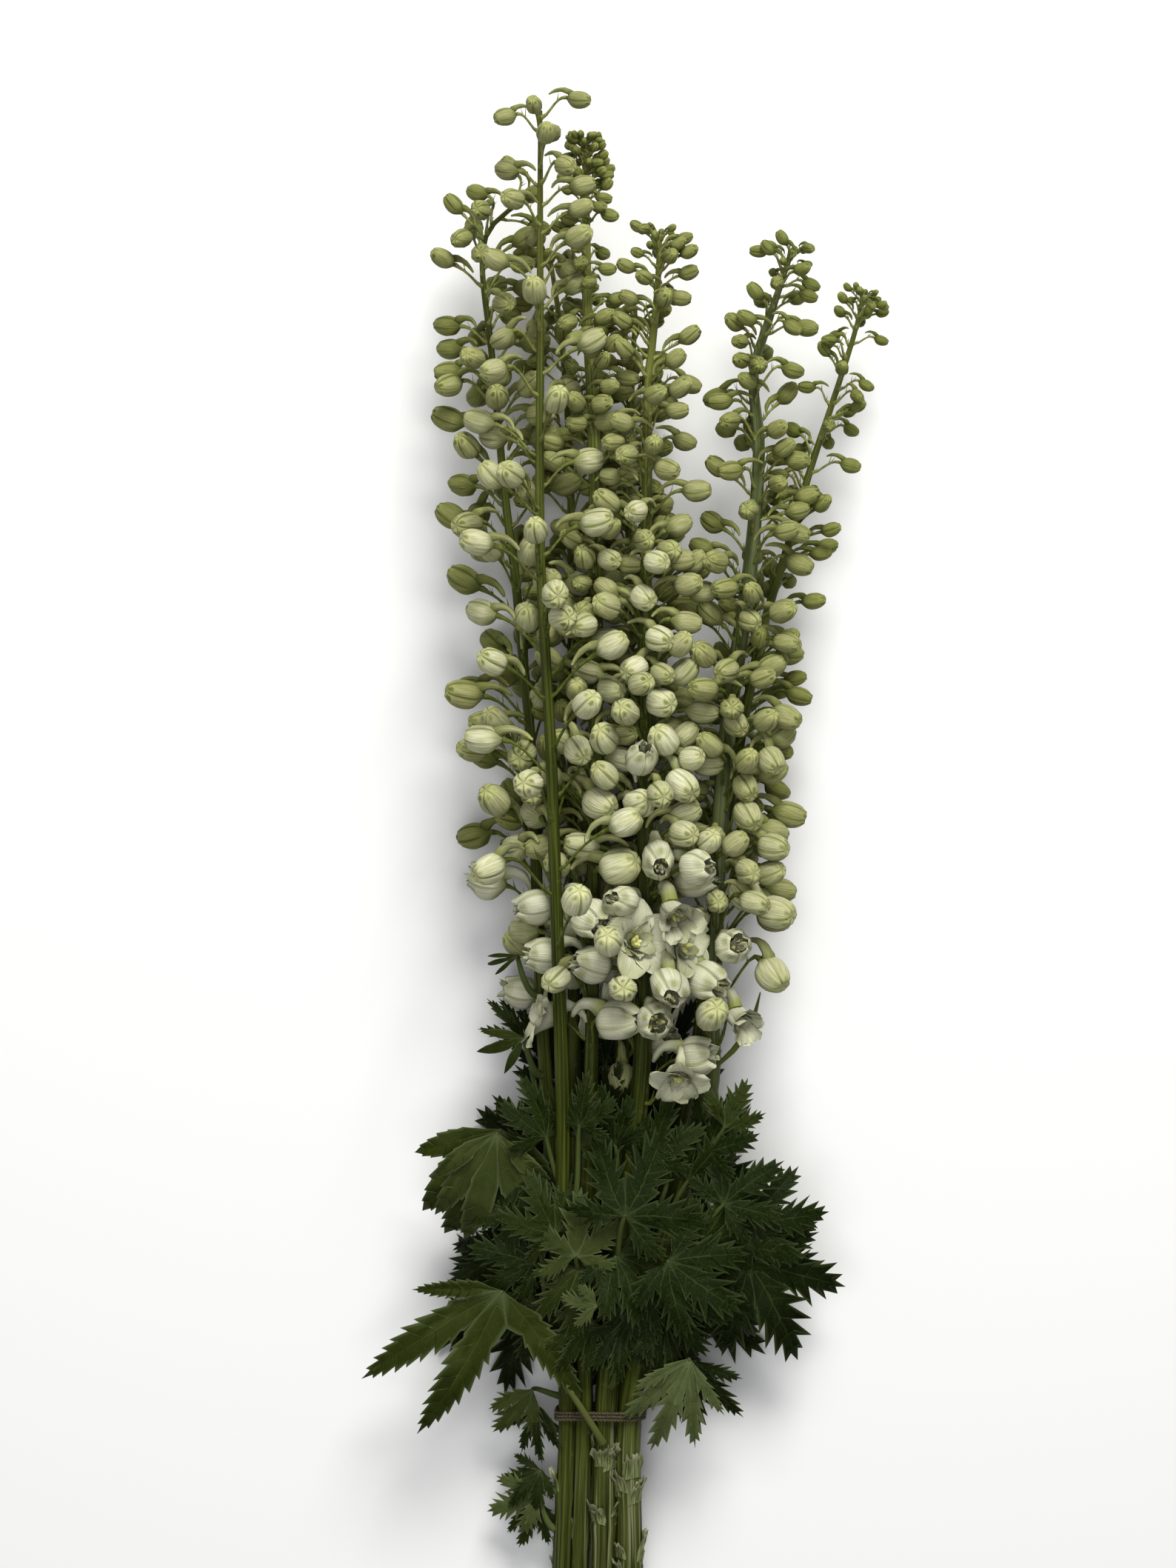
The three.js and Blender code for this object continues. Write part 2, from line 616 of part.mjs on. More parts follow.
// A point of the blade: distance u ahead of the joint and v to its left, bent down round the joint,
// and its distance above (or below) the blade's middle.
function bladePoint(leaf, frame, u, v, lift) {
  const reach = Math.hypot(u, v);
  const curl = degrees(leaf.droop) / leaf.size;
  const spoke = along(frame.forward.clone().multiplyScalar(u), frame.left, v).normalize();
  const joint = vector(...leaf.joint);
  const bent = along(joint, spoke, Math.sin(curl * reach) / curl);
  bent.addScaledVector(frame.face, -(1 - Math.cos(curl * reach)) / curl);
  const phase = WAVES * Math.atan2(v, u) + leaf.size;
  const wave = WAVE * leaf.size * Math.sin(phase) * Math.pow(reach / leaf.size, 2);
  return bent.addScaledVector(frame.face, wave + lift);
}

// A leaf in one skin: the tube of its petiole opens at its end ring into the two faces of the blade,
// which meet along the cut edge.
function leafSkin(leaf) {
  const frame = leafFrame(leaf);
  const rings = petioleRings(leaf, frame);
  const { points, faces } = skin(rings);
  faces.splice(-3 * (PETIOLE_SIDES - 2)); // the end cap makes way for the blade
  const [above, below] = [faces, []];
  const [back, right, front, left] = [4, 3, 2, 1].map((from) => points.length - from);
  const add = (u, v, half) => {
    points.push(bladePoint(leaf, frame, u, v, half));
    if (half > 0) points.push(bladePoint(leaf, frame, u, v, -half));
    return half > 0 ? [points.length - 2, points.length - 1] : [points.length - 1, points.length - 1];
  };
  const face = (a, b, c) => {
    above.push(a[0], b[0], c[0]);
    below.push(a[1], c[1], b[1]);
  };
  const lobes = LOBES[leaf.lobes].map(([turn, share]) => [degrees(turn * leaf.spread), share * leaf.size]);
  const gathered = Math.min(1, (lobes[1][0] - lobes[0][0]) / degrees(2 * LOBE_HALF_TURN));
  const hub = add(HUB * leaf.size, 0, HUB_THICKNESS / 2);
  above.push(hub[0], left, back, hub[0], back, right);
  below.push(hub[1], front, left, hub[1], right, front);
  const sinuses = [[right, right]];
  for (let i = 1; i < lobes.length; i++) {
    const turn = (lobes[i - 1][0] + lobes[i][0]) / 2;
    sinuses.push(add(SINUS * leaf.size * Math.cos(turn), SINUS * leaf.size * Math.sin(turn), 0));
  }
  sinuses.push([left, left]);
  lobes.forEach(([turn, length], i) => {
    const at = (share, width, half) => {
      const [x, y] = [share * length, width * length * gathered];
      return add(x * Math.cos(turn) - y * Math.sin(turn), x * Math.sin(turn) + y * Math.cos(turn), half);
    };
    const tip = at(1, 0, 0);
    const rib = [hub, ...RIB.map((share) => at(share, 0, LEAF_THICKNESS / 2)), tip];
    const ribAt = [0, ...RIB, 1];
    const edgeAt = [0, EDGE_START, ...LOBE_EDGE.map(([share]) => share), 1];
    for (const side of [1, -1]) {
      const sinus = side > 0 ? sinuses[i + 1] : sinuses[i];
      const edge = [hub, sinus, ...LOBE_EDGE.map(([share, width]) => at(share, side * width, 0)), tip];
      const put = (a, b, c) => (side > 0 ? face(a, b, c) : face(a, c, b));
      let [r, e] = [0, 0];
      while (r < rib.length - 1 || e < edge.length - 1) {
        if (e === edge.length - 1 || (r < rib.length - 1 && ribAt[r + 1] <= edgeAt[e + 1])) {
          if (rib[r] !== edge[e] && rib[r + 1] !== edge[e]) put(rib[r], rib[r + 1], edge[e]);
          r += 1;
        } else {
          if (rib[r] !== edge[e] && rib[r] !== edge[e + 1]) put(rib[r], edge[e + 1], edge[e]);
          e += 1;
        }
      }
    }
  });
  return { points, faces: [...above, ...below] };
}

const spikeNamed = (name) => SPIKES.find((spike) => spike.name === name);

const PETIOLE_SIDES = 4;
const PETIOLE_STEPS = 4;
const PETIOLE_BOW = 0.3; // how far its ends run straight on, over its length
const PETIOLE_RISE = 0.08; // how far it is drawn up along the stem, over its length
const MOST_BOW = [10, 12]; // at the stem and at the blade

// The rings of a petiole: square off its stem, along a bow, and into the back of the blade. The last
// one starts at the point behind the blade's joint and turns to the right.
function petioleRings(leaf, bladeFrame) {
  const spike = spikeNamed(leaf.on);
  const { centre, forward, side, up } = stemFrame(spike, leaf.root);
  const joint = vector(...leaf.joint);
  const away = joint.clone().sub(centre);
  const facing = Math.atan2(away.dot(up), away.dot(side));
  const around = leaf.around === undefined ? facing : degrees(leaf.around);
  const out = along(side.clone().multiplyScalar(Math.cos(around)), up, Math.sin(around));
  const start = along(centre, out, stemRadius(spike, leaf.root) + SEAT_GAP);
  const chord = joint.clone().sub(start);
  const ahead = Math.max(chord.dot(bladeFrame.forward) / chord.length(), 0);
  const arrival = along(bladeFrame.forward.clone().multiplyScalar(ahead), bladeFrame.face, 1 - ahead);
  arrival.normalize();
  const [leaving, arriving] = MOST_BOW.map((most) => Math.min(most, PETIOLE_BOW * chord.length()));
  const curve = new THREE.CubicBezierCurve3(
    start,
    along(along(start, out, leaving), forward, PETIOLE_RISE * chord.length()),
    along(joint, arrival, -arriving),
    joint,
  );
  const rings = [];
  let last = null;
  for (let i = PETIOLE_STEPS; i >= 0; i--) {
    const t = i / PETIOLE_STEPS;
    const tangent = i === 0 ? out : curve.getTangent(t);
    if (!last) {
      last = bladeFrame.face.clone().multiplyScalar(tangent.dot(bladeFrame.forward));
      last.addScaledVector(bladeFrame.forward, -tangent.dot(bladeFrame.face));
    }
    last = last.clone().addScaledVector(tangent, -last.dot(tangent)).normalize();
    const radius = mix(...PETIOLE_RADIUS, t);
    rings.unshift(ring(curve.getPoint(t), tangent.clone().cross(last), last, radius, PETIOLE_SIDES));
  }
  return rings;
}

// ---- The tie ----

const TIE_WIDTH = 6.5; // along the stems
const TIE_DEPTH = 2.2; // outward
const TIE_STEPS = 32;
const TIE_GAP = 0.7; // round the stems that reach furthest out
const TIE_CREST = 0.7; // share of its width that is at its full depth

// A hull drawn tight round the stems: for each direction, the stem that reaches furthest that way.
function tieRing(offset, y) {
  const circles = SPIKES.map((spike) => ({ centre: axisAt(spike, y), radius: stemRadius(spike, y) }));
  return Array.from({ length: TIE_STEPS }, (_, i) => {
    const angle = (2 * Math.PI * i) / TIE_STEPS;
    const out = vector(Math.cos(angle), 0, Math.sin(angle));
    const furthest = circles.reduce((best, one) =>
      one.centre.dot(out) + one.radius > best.centre.dot(out) + best.radius ? one : best,
    );
    return along(furthest.centre, out, furthest.radius + offset);
  });
}

function tieSkin() {
  const half = TIE_WIDTH / 2;
  const bands = [
    tieRing(TIE_GAP, -half),
    tieRing(TIE_GAP + TIE_DEPTH, -half * TIE_CREST),
    tieRing(TIE_GAP + TIE_DEPTH, half * TIE_CREST),
    tieRing(TIE_GAP, half),
  ];
  const points = bands.flat();
  const faces = [];
  for (let b = 0; b < bands.length; b++) {
    for (let i = 0; i < TIE_STEPS; i++) {
      const j = (i + 1) % TIE_STEPS;
      const c = (b + 1) % bands.length;
      const [p, q, r, t] = [b * TIE_STEPS + i, b * TIE_STEPS + j, c * TIE_STEPS + j, c * TIE_STEPS + i];
      faces.push(p, r, q, p, t, r);
    }
  }
  return { points, faces };
}

// ---- The bunch ----

const STEM_GREEN = 0x8fa05a;
const FLORET_WHITE = 0xf1f1e6;
const LEAF_GREEN = 0x2f4a26;
const TWINE_BROWN = 0x6a4f2c;
const finish = (color, roughness) => new THREE.MeshStandardMaterial({ color, roughness });
const bunch = new THREE.Group();

function place(name, solid, material) {
  const mesh = new THREE.Mesh(geometryFrom(pressed(solid)), material);
  mesh.name = name;
  bunch.add(mesh);
}

for (const spike of SPIKES) {
  let solid = solidOf(geometryOf(stemSkin(spike)));
  let florets = 0;
  for (const bud of spike.grown) {
    if (bud.isOpen) {
      florets += 1;
      const name = `floret_${spike.name.slice(-1)}_${florets}`;
      place(name, solidOf(geometryOf(floretSkin(bud))), finish(FLORET_WHITE, 0.5));
    } else {
      solid = solid.add(solidOf(geometryOf(budSkin(bud))));
    }
  }
  place(spike.name, solid, finish(STEM_GREEN, 0.6));
}

for (const leaf of LEAVES) {
  place(leaf.name, solidOf(geometryOf(leafSkin(leaf))), finish(LEAF_GREEN, 0.7));
}

place("tie", solidOf(geometryOf(tieSkin())), finish(TWINE_BROWN, 0.9));

const middle = new THREE.Box3().setFromObject(bunch).getCenter(vector(0, 0, 0));
for (const mesh of bunch.children) mesh.geometry.translate(-middle.x, -middle.y, 0);

export default bunch;
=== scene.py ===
"""A hand-tied bunch of white delphinium spikes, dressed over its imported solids.

Metres, +Z up. The bunch lies on the floor with its tips towards +Y.
"""

import json
import math

import bpy
import numpy as np
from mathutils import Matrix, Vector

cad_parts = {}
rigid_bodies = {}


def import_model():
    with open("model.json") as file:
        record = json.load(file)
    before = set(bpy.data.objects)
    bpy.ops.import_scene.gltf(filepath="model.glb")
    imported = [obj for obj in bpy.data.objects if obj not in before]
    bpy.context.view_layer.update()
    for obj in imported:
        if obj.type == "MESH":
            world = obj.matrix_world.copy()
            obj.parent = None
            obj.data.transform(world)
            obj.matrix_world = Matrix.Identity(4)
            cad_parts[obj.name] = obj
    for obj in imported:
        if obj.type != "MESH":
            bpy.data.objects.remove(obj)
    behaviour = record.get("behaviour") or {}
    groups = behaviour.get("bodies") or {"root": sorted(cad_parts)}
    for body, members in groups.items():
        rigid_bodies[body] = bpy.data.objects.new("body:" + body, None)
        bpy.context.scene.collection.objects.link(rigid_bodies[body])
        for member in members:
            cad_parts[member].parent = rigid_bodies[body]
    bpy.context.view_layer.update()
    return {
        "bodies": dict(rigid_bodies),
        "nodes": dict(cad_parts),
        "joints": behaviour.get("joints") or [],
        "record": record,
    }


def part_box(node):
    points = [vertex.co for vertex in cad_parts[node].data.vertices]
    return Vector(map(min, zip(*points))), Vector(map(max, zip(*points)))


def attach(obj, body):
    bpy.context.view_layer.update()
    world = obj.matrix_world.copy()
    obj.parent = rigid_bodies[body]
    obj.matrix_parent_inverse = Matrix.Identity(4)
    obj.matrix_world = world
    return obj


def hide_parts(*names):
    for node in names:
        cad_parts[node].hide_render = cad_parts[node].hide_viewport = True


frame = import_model()


# ---- Camera ----
# The bunch lies on its side, so the camera looks straight down on it, with the tips at the top of
# its view. A long lens two metres away keeps near and far flowers about the same size.

AIM = (-0.0197, 0.0771)
VIEW_HEIGHT = 0.9527  # what the long side of the view takes in, at the middle of the bunch
MIDDLE_OF_BUNCH = 0.09  # height over the floor
CAMERA_DISTANCE = 2.0
SENSOR = 36.0  # millimetres

camera_data = bpy.data.cameras.new("camera_above")
camera_data.sensor_fit = "VERTICAL"
camera_data.sensor_height = SENSOR
camera_data.lens = SENSOR * CAMERA_DISTANCE / VIEW_HEIGHT
camera = bpy.data.objects.new("camera_above", camera_data)
camera.location = (AIM[0], AIM[1], MIDDLE_OF_BUNCH + CAMERA_DISTANCE)
bpy.context.scene.collection.objects.link(camera)
bpy.context.scene.camera = camera


# ---- Floor and studio light ----
# A plain white table top. One broad soft lamp stands beyond the tips, a weaker one hangs above, and
# the walls of the room give a little light from all round.

FLOOR_SIZE = 8.0
FLOOR_DROP = 0.0004  # how far it lies under the bunch, so that the two don't flicker
FLOOR_WHITE = (0.76, 0.76, 0.755)
FLOOR_ROUGHNESS = 0.9
FLOOR_SHEEN = 0.1
MOTTLE_SCALE = 3.0
MOTTLE_SHADE = 0.99
ROOM_WHITE = (1.0, 1.0, 1.0)
ROOM_LIGHT = 0.12
LAMPS = (
    # name, place, what it points at, width, power, colour
    ("lamp_beyond_tips", (0.5, 2.5, 2.3), (0.0, 0.0, 0.0), 1.5, 150.0, (1.0, 0.99, 0.96)),
    ("lamp_overhead", (-0.3, -0.2, 2.9), (0.0, 0.0, 0.0), 1.8, 46.0, (0.97, 0.98, 1.0)),
)


def link(node_tree, out_socket, in_socket):
    node_tree.links.new(out_socket, in_socket)


def lamp(name, place, target, width, power, colour):
    data = bpy.data.lights.new(name, "AREA")
    data.shape = "SQUARE"
    data.size = width
    data.energy = power
    data.color = colour
    light = bpy.data.objects.new(name, data)
    light.location = place
    reach = np.array(target) - np.array(place)
    level = math.hypot(reach[0], reach[1])
    light.rotation_euler = (math.atan2(level, -reach[2]), 0, math.atan2(-reach[0], reach[1]))
    bpy.context.scene.collection.objects.link(light)


def floor():
    half = FLOOR_SIZE / 2
    mesh = bpy.data.meshes.new("floor")
    corners = [(-half, -half), (half, -half), (half, half), (-half, half)]
    mesh.from_pydata([(x, y, -FLOOR_DROP) for x, y in corners], [], [(0, 1, 2, 3)])
    plane = bpy.data.objects.new("floor", mesh)
    bpy.context.scene.collection.objects.link(plane)
    material = bpy.data.materials.new("white_table_top")
    material.use_nodes = True
    nodes = material.node_tree.nodes
    shader = nodes["Principled BSDF"]
    shader.inputs["Roughness"].default_value = FLOOR_ROUGHNESS
    shader.inputs["Specular IOR Level"].default_value = FLOOR_SHEEN
    mottle = nodes.new("ShaderNodeTexNoise")
    mottle.inputs["Scale"].default_value = MOTTLE_SCALE
    tone = nodes.new("ShaderNodeValToRGB")
    tone.color_ramp.elements[0].color = (*[c * MOTTLE_SHADE for c in FLOOR_WHITE], 1)
    tone.color_ramp.elements[1].color = (*FLOOR_WHITE, 1)
    link(material.node_tree, mottle.outputs["Fac"], tone.inputs["Fac"])
    link(material.node_tree, tone.outputs["Color"], shader.inputs["Base Color"])
    mesh.materials.append(material)


floor()
for settings in LAMPS:
    lamp(*settings)
world = bpy.data.worlds.new("studio_room")
world.use_nodes = True
walls = world.node_tree.nodes["Background"]
walls.inputs["Color"].default_value = (*ROOM_WHITE, 1)
walls.inputs["Strength"].default_value = ROOM_LIGHT
bpy.context.scene.world = world
bpy.context.scene.view_settings.view_transform = "Standard"


# ---- Stems ----
# Eight round, faintly ribbed green stems, fatter towards their cut ends. Each was cut square with a
# knife, and its hollow middle shows there. Stubs of trimmed leaf stalks clasp the lower stretch.

# Each spike: its radius at the butt, the turn of its first bud, the heights of its lowest and topmost
# bud, how many it has, their lengths at the tip and at the base, their stalks' lengths likewise, how
# many florets are open, and the points that its axis runs through.
SPIKE_FIELDS = ("name", "butt", "turn", "low", "top", "buds", "bud", "stalk", "open", "axis")
SPIKE_ROWS = (
    ("spike_1", 0.00565, 0.4, 0.296, 0.792, 38, (0.0125, 0.021), (0.015, 0.038), 0, (
        (-0.022, -0.172, 0.018), (-0.0186, -0.084, 0.0305), (-0.0158, 0, 0.042), (-0.0185, 0.1, 0.063),
        (-0.018, 0.192, 0.084), (-0.0203, 0.273, 0.099), (-0.0227, 0.344, 0.108), (-0.025, 0.416, 0.113),
        (-0.028, 0.464, 0.115), (-0.0313, 0.535, 0.116), (-0.0313, 0.67, 0.116), (-0.0313, 0.796, 0.115),
    )),
    ("spike_4", 0.008, 2.1, 0.214, 0.72, 42, (0.0085, 0.022), (0.01, 0.032), 9, (
        (0.005, -0.176, 0.022), (0.007, -0.084, 0.0324), (0.0084, 0, 0.0418), (0.016, 0.1, 0.058),
        (0.03, 0.216, 0.08), (0.032, 0.36, 0.093), (0.032, 0.502, 0.096), (0.033, 0.569, 0.096),
        (0.034, 0.634, 0.095), (0.039, 0.686, 0.095), (0.041, 0.724, 0.095),
    )),
    ("spike_3", 0.00565, 1.2, 0.236, 0.78, 46, (0.0054, 0.0205), (0.004, 0.03), 6, (
        (-0.01, -0.168, 0.018), (-0.0075, -0.084, 0.0306), (-0.0052, 0, 0.0422), (-0.0035, 0.1, 0.056),
        (-0.0005, 0.23, 0.074), (0.0015, 0.4, 0.084), (0.002, 0.565, 0.086), (0.0005, 0.617, 0.086),
        (-0.003, 0.68, 0.086), (-0.0045, 0.783, 0.085),
    )),
    ("spike_5", 0.0084, 0.9, 0.282, 0.713, 38, (0.0085, 0.02), (0.011, 0.03), 1, (
        (0.0222, -0.17, 0.0224), (0.023, -0.084, 0.0324), (0.0235, 0, 0.0425), (0.042, 0.1, 0.054),
        (0.071, 0.202, 0.07), (0.073, 0.254, 0.075), (0.077, 0.349, 0.08), (0.0837, 0.435, 0.082),
        (0.0967, 0.527, 0.082), (0.1017, 0.598, 0.081), (0.0985, 0.642, 0.08), (0.108, 0.676, 0.08),
        (0.122, 0.717, 0.08),
    )),
    ("spike_2", 0.00565, 3.3, 0.318, 0.748, 35, (0.0125, 0.022), (0.015, 0.032), 2, (
        (-0.0225, -0.178, 0.0046), (-0.0186, -0.084, 0.0178), (-0.015, 0, 0.03), (-0.022, 0.1, 0.039),
        (-0.031, 0.25, 0.052), (-0.038, 0.418, 0.064), (-0.0436, 0.478, 0.067), (-0.047, 0.516, 0.069),
        (-0.053, 0.564, 0.07), (-0.0625, 0.663, 0.07), (-0.0675, 0.709, 0.07), (-0.064, 0.731, 0.07),
        (-0.051, 0.744, 0.071), (-0.039, 0.752, 0.072),
    )),
    ("spike_6", 0.0061, 5.2, 0.322, 0.688, 35, (0.006, 0.0165), (0.008, 0.024), 0, (
        (0.0195, -0.175, 0.005), (0.0198, -0.084, 0.0174), (0.0195, 0, 0.029), (0.036, 0.1, 0.039),
        (0.062, 0.21, 0.049), (0.08, 0.35, 0.056), (0.103, 0.478, 0.06), (0.125, 0.553, 0.062),
        (0.135, 0.588, 0.062), (0.149, 0.63, 0.062), (0.162, 0.671, 0.062), (0.167, 0.692, 0.062),
    )),
    ("spike_7", 0.0054, 1.7, 0.246, 0.721, 30, (0.009, 0.02), (0.012, 0.03), 3, (
        (-0.0105, -0.165, 0.0044), (-0.0075, -0.084, 0.0172), (-0.0044, 0, 0.0288), (-0.008, 0.1, 0.033),
        (-0.011, 0.23, 0.036), (-0.0125, 0.4, 0.041), (-0.0135, 0.586, 0.044), (-0.0175, 0.651, 0.044),
        (-0.02, 0.677, 0.044), (-0.027, 0.725, 0.044),
    )),
    ("spike_8", 0.0066, 4.4, 0.222, 0.686, 31, (0.009, 0.022), (0.012, 0.03), 6, (
        (0.0055, -0.173, 0.0054), (0.0066, -0.084, 0.0176), (0.0072, 0, 0.0286), (0.013, 0.1, 0.033),
        (0.019, 0.23, 0.035), (0.022, 0.4, 0.038), (0.024, 0.62, 0.039), (0.027, 0.69, 0.039),
    )),
)
SPIKES = [dict(zip(SPIKE_FIELDS, row)) for row in SPIKE_ROWS]
TIP_RADIUS = 0.0013
TAPER = 0.8  # 1 tapers evenly, less keeps the stem thick for longer
STEM_SIDES = 30
STEM_RING = 0.008
SLOPE_STEP = 0.002  # half the stretch over which a stem's direction is taken
RIBS = 10
RIB_HEIGHT = 0.035  # over the stem's radius
RIB_TWIST = 0.4  # turn over a metre of stem
LOW_RIBS = (2.0, 0.08)  # how much higher the ribs are below the tie, and how far below
SWAY = (3, 40, 0.02)  # how a stem is out of round: bulges, their turn over a metre, their height
NODES = {  # heights of the joints from which leaves were trimmed
    "spike_1": (-0.052, -0.118), "spike_3": (-0.078,), "spike_2": (-0.095,),
    "spike_4": (-0.028, -0.072, -0.126), "spike_5": (-0.046, -0.098, -0.142), "spike_8": (-0.06,),
}
NODE_LENGTH = 0.0045
NODE_SWELL = 0.1
# How much fatter a stem stays than its taper gives, the heights over which it gets so, and how far
# from its tip that ends.
STOUT = {"spike_3": 1.55, "spike_4": 1.15, "spike_5": 1.35}
STOUT_FROM = (0.25, 0.55)
STOUT_END = 0.05
PALENESS_OF_STEM = {
    "spike_1": 0.35, "spike_2": 0.2, "spike_3": 0.5, "spike_4": 1.0,
    "spike_5": 0.9, "spike_6": 0.5, "spike_7": 0.3, "spike_8": 0.6,
}
YOUTH = {  # how light the upper part of a stem still is
    "spike_1": 0.35, "spike_2": 0.3, "spike_3": 1.0, "spike_4": 0.85,
    "spike_5": 1.0, "spike_6": 0.5, "spike_7": 0.6, "spike_8": 0.6,
}
HOLLOW = (0.62, 0.012)  # of a cut end: radius over the stem's radius, depth
CUT_RIM = 0.01  # stretch of the stem's length value over which the cut's paleness ends
ANY_TURN = (0, 6.28)  # radians
TINY = 1e-6
UP = np.array((0.0, 0.0, 1.0))
SHARP_EDGE = math.radians(80)  # edges at which a surface turns by more than this look sharp
VALUES = ("ripeness", "along", "around", "spot", "seam", "chance")  # what the materials can read


def mix(a, b, t):
    return a + (b - a) * t


def unit(v):
    return v / np.linalg.norm(v)


def rise(t, low=0.0, high=1.0):
    """Goes smoothly from 0 to 1 while t goes from low to high."""
    t = np.clip((t - low) / (high - low), 0, 1)
    return t * t * (3 - 2 * t)


DICE_FACTOR, DICE_STEP, DICE_RANGE = 1664525, 1013904223, 2**32  # a well-known row of random numbers


class Dice:
    """A row of numbers in 0..1 that is the same on every run."""

    def __init__(self, seed):
        self.state = seed

    def __call__(self, low=0.0, high=1.0):
        self.state = (self.state * DICE_FACTOR + DICE_STEP) % DICE_RANGE
        return mix(low, high, self.state / DICE_RANGE)


def axis_at(spike, y):
    """The point of a stem's axis at a height, on a smooth curve through its points."""
    axis = spike["axis"]
    i = 0
    while i < len(axis) - 2 and axis[i + 1][1] < y:
        i += 1
    p, q = axis[i], axis[i + 1]
    before, after = axis[max(i - 1, 0)], axis[min(i + 2, len(axis) - 1)]
    span = q[1] - p[1]
    t = min(max((y - p[1]) / span, 0), 1)
    rest = 1 - t

    def part(k):
        slope_in = (q[k] - before[k]) / (q[1] - before[1]) * span
        slope_out = (after[k] - p[k]) / (after[1] - p[1]) * span
        start = p[k] * (1 + 2 * t) * rest * rest + slope_in * t * rest * rest
        return start + q[k] * t * t * (3 - 2 * t) - slope_out * t * t * rest

    return np.array((part(0), mix(p[1], q[1], t), part(2)))


def stem_frame(spike, y):
    """A stem's middle at a height, and the directions along it, to its side and up from it."""
    centre = axis_at(spike, y)
    forward = unit(axis_at(spike, y + SLOPE_STEP) - axis_at(spike, y - SLOPE_STEP))
    side = unit(np.cross(forward, UP))
    return centre, forward, side, np.cross(side, forward)


def stem_radius(spike, y):
    bottom, top = spike["axis"][0][1], spike["axis"][-1][1]
    left = min(max((top - y) / (top - bottom), 0), 1)
    return TIP_RADIUS + (spike["butt"] - TIP_RADIUS) * left**TAPER


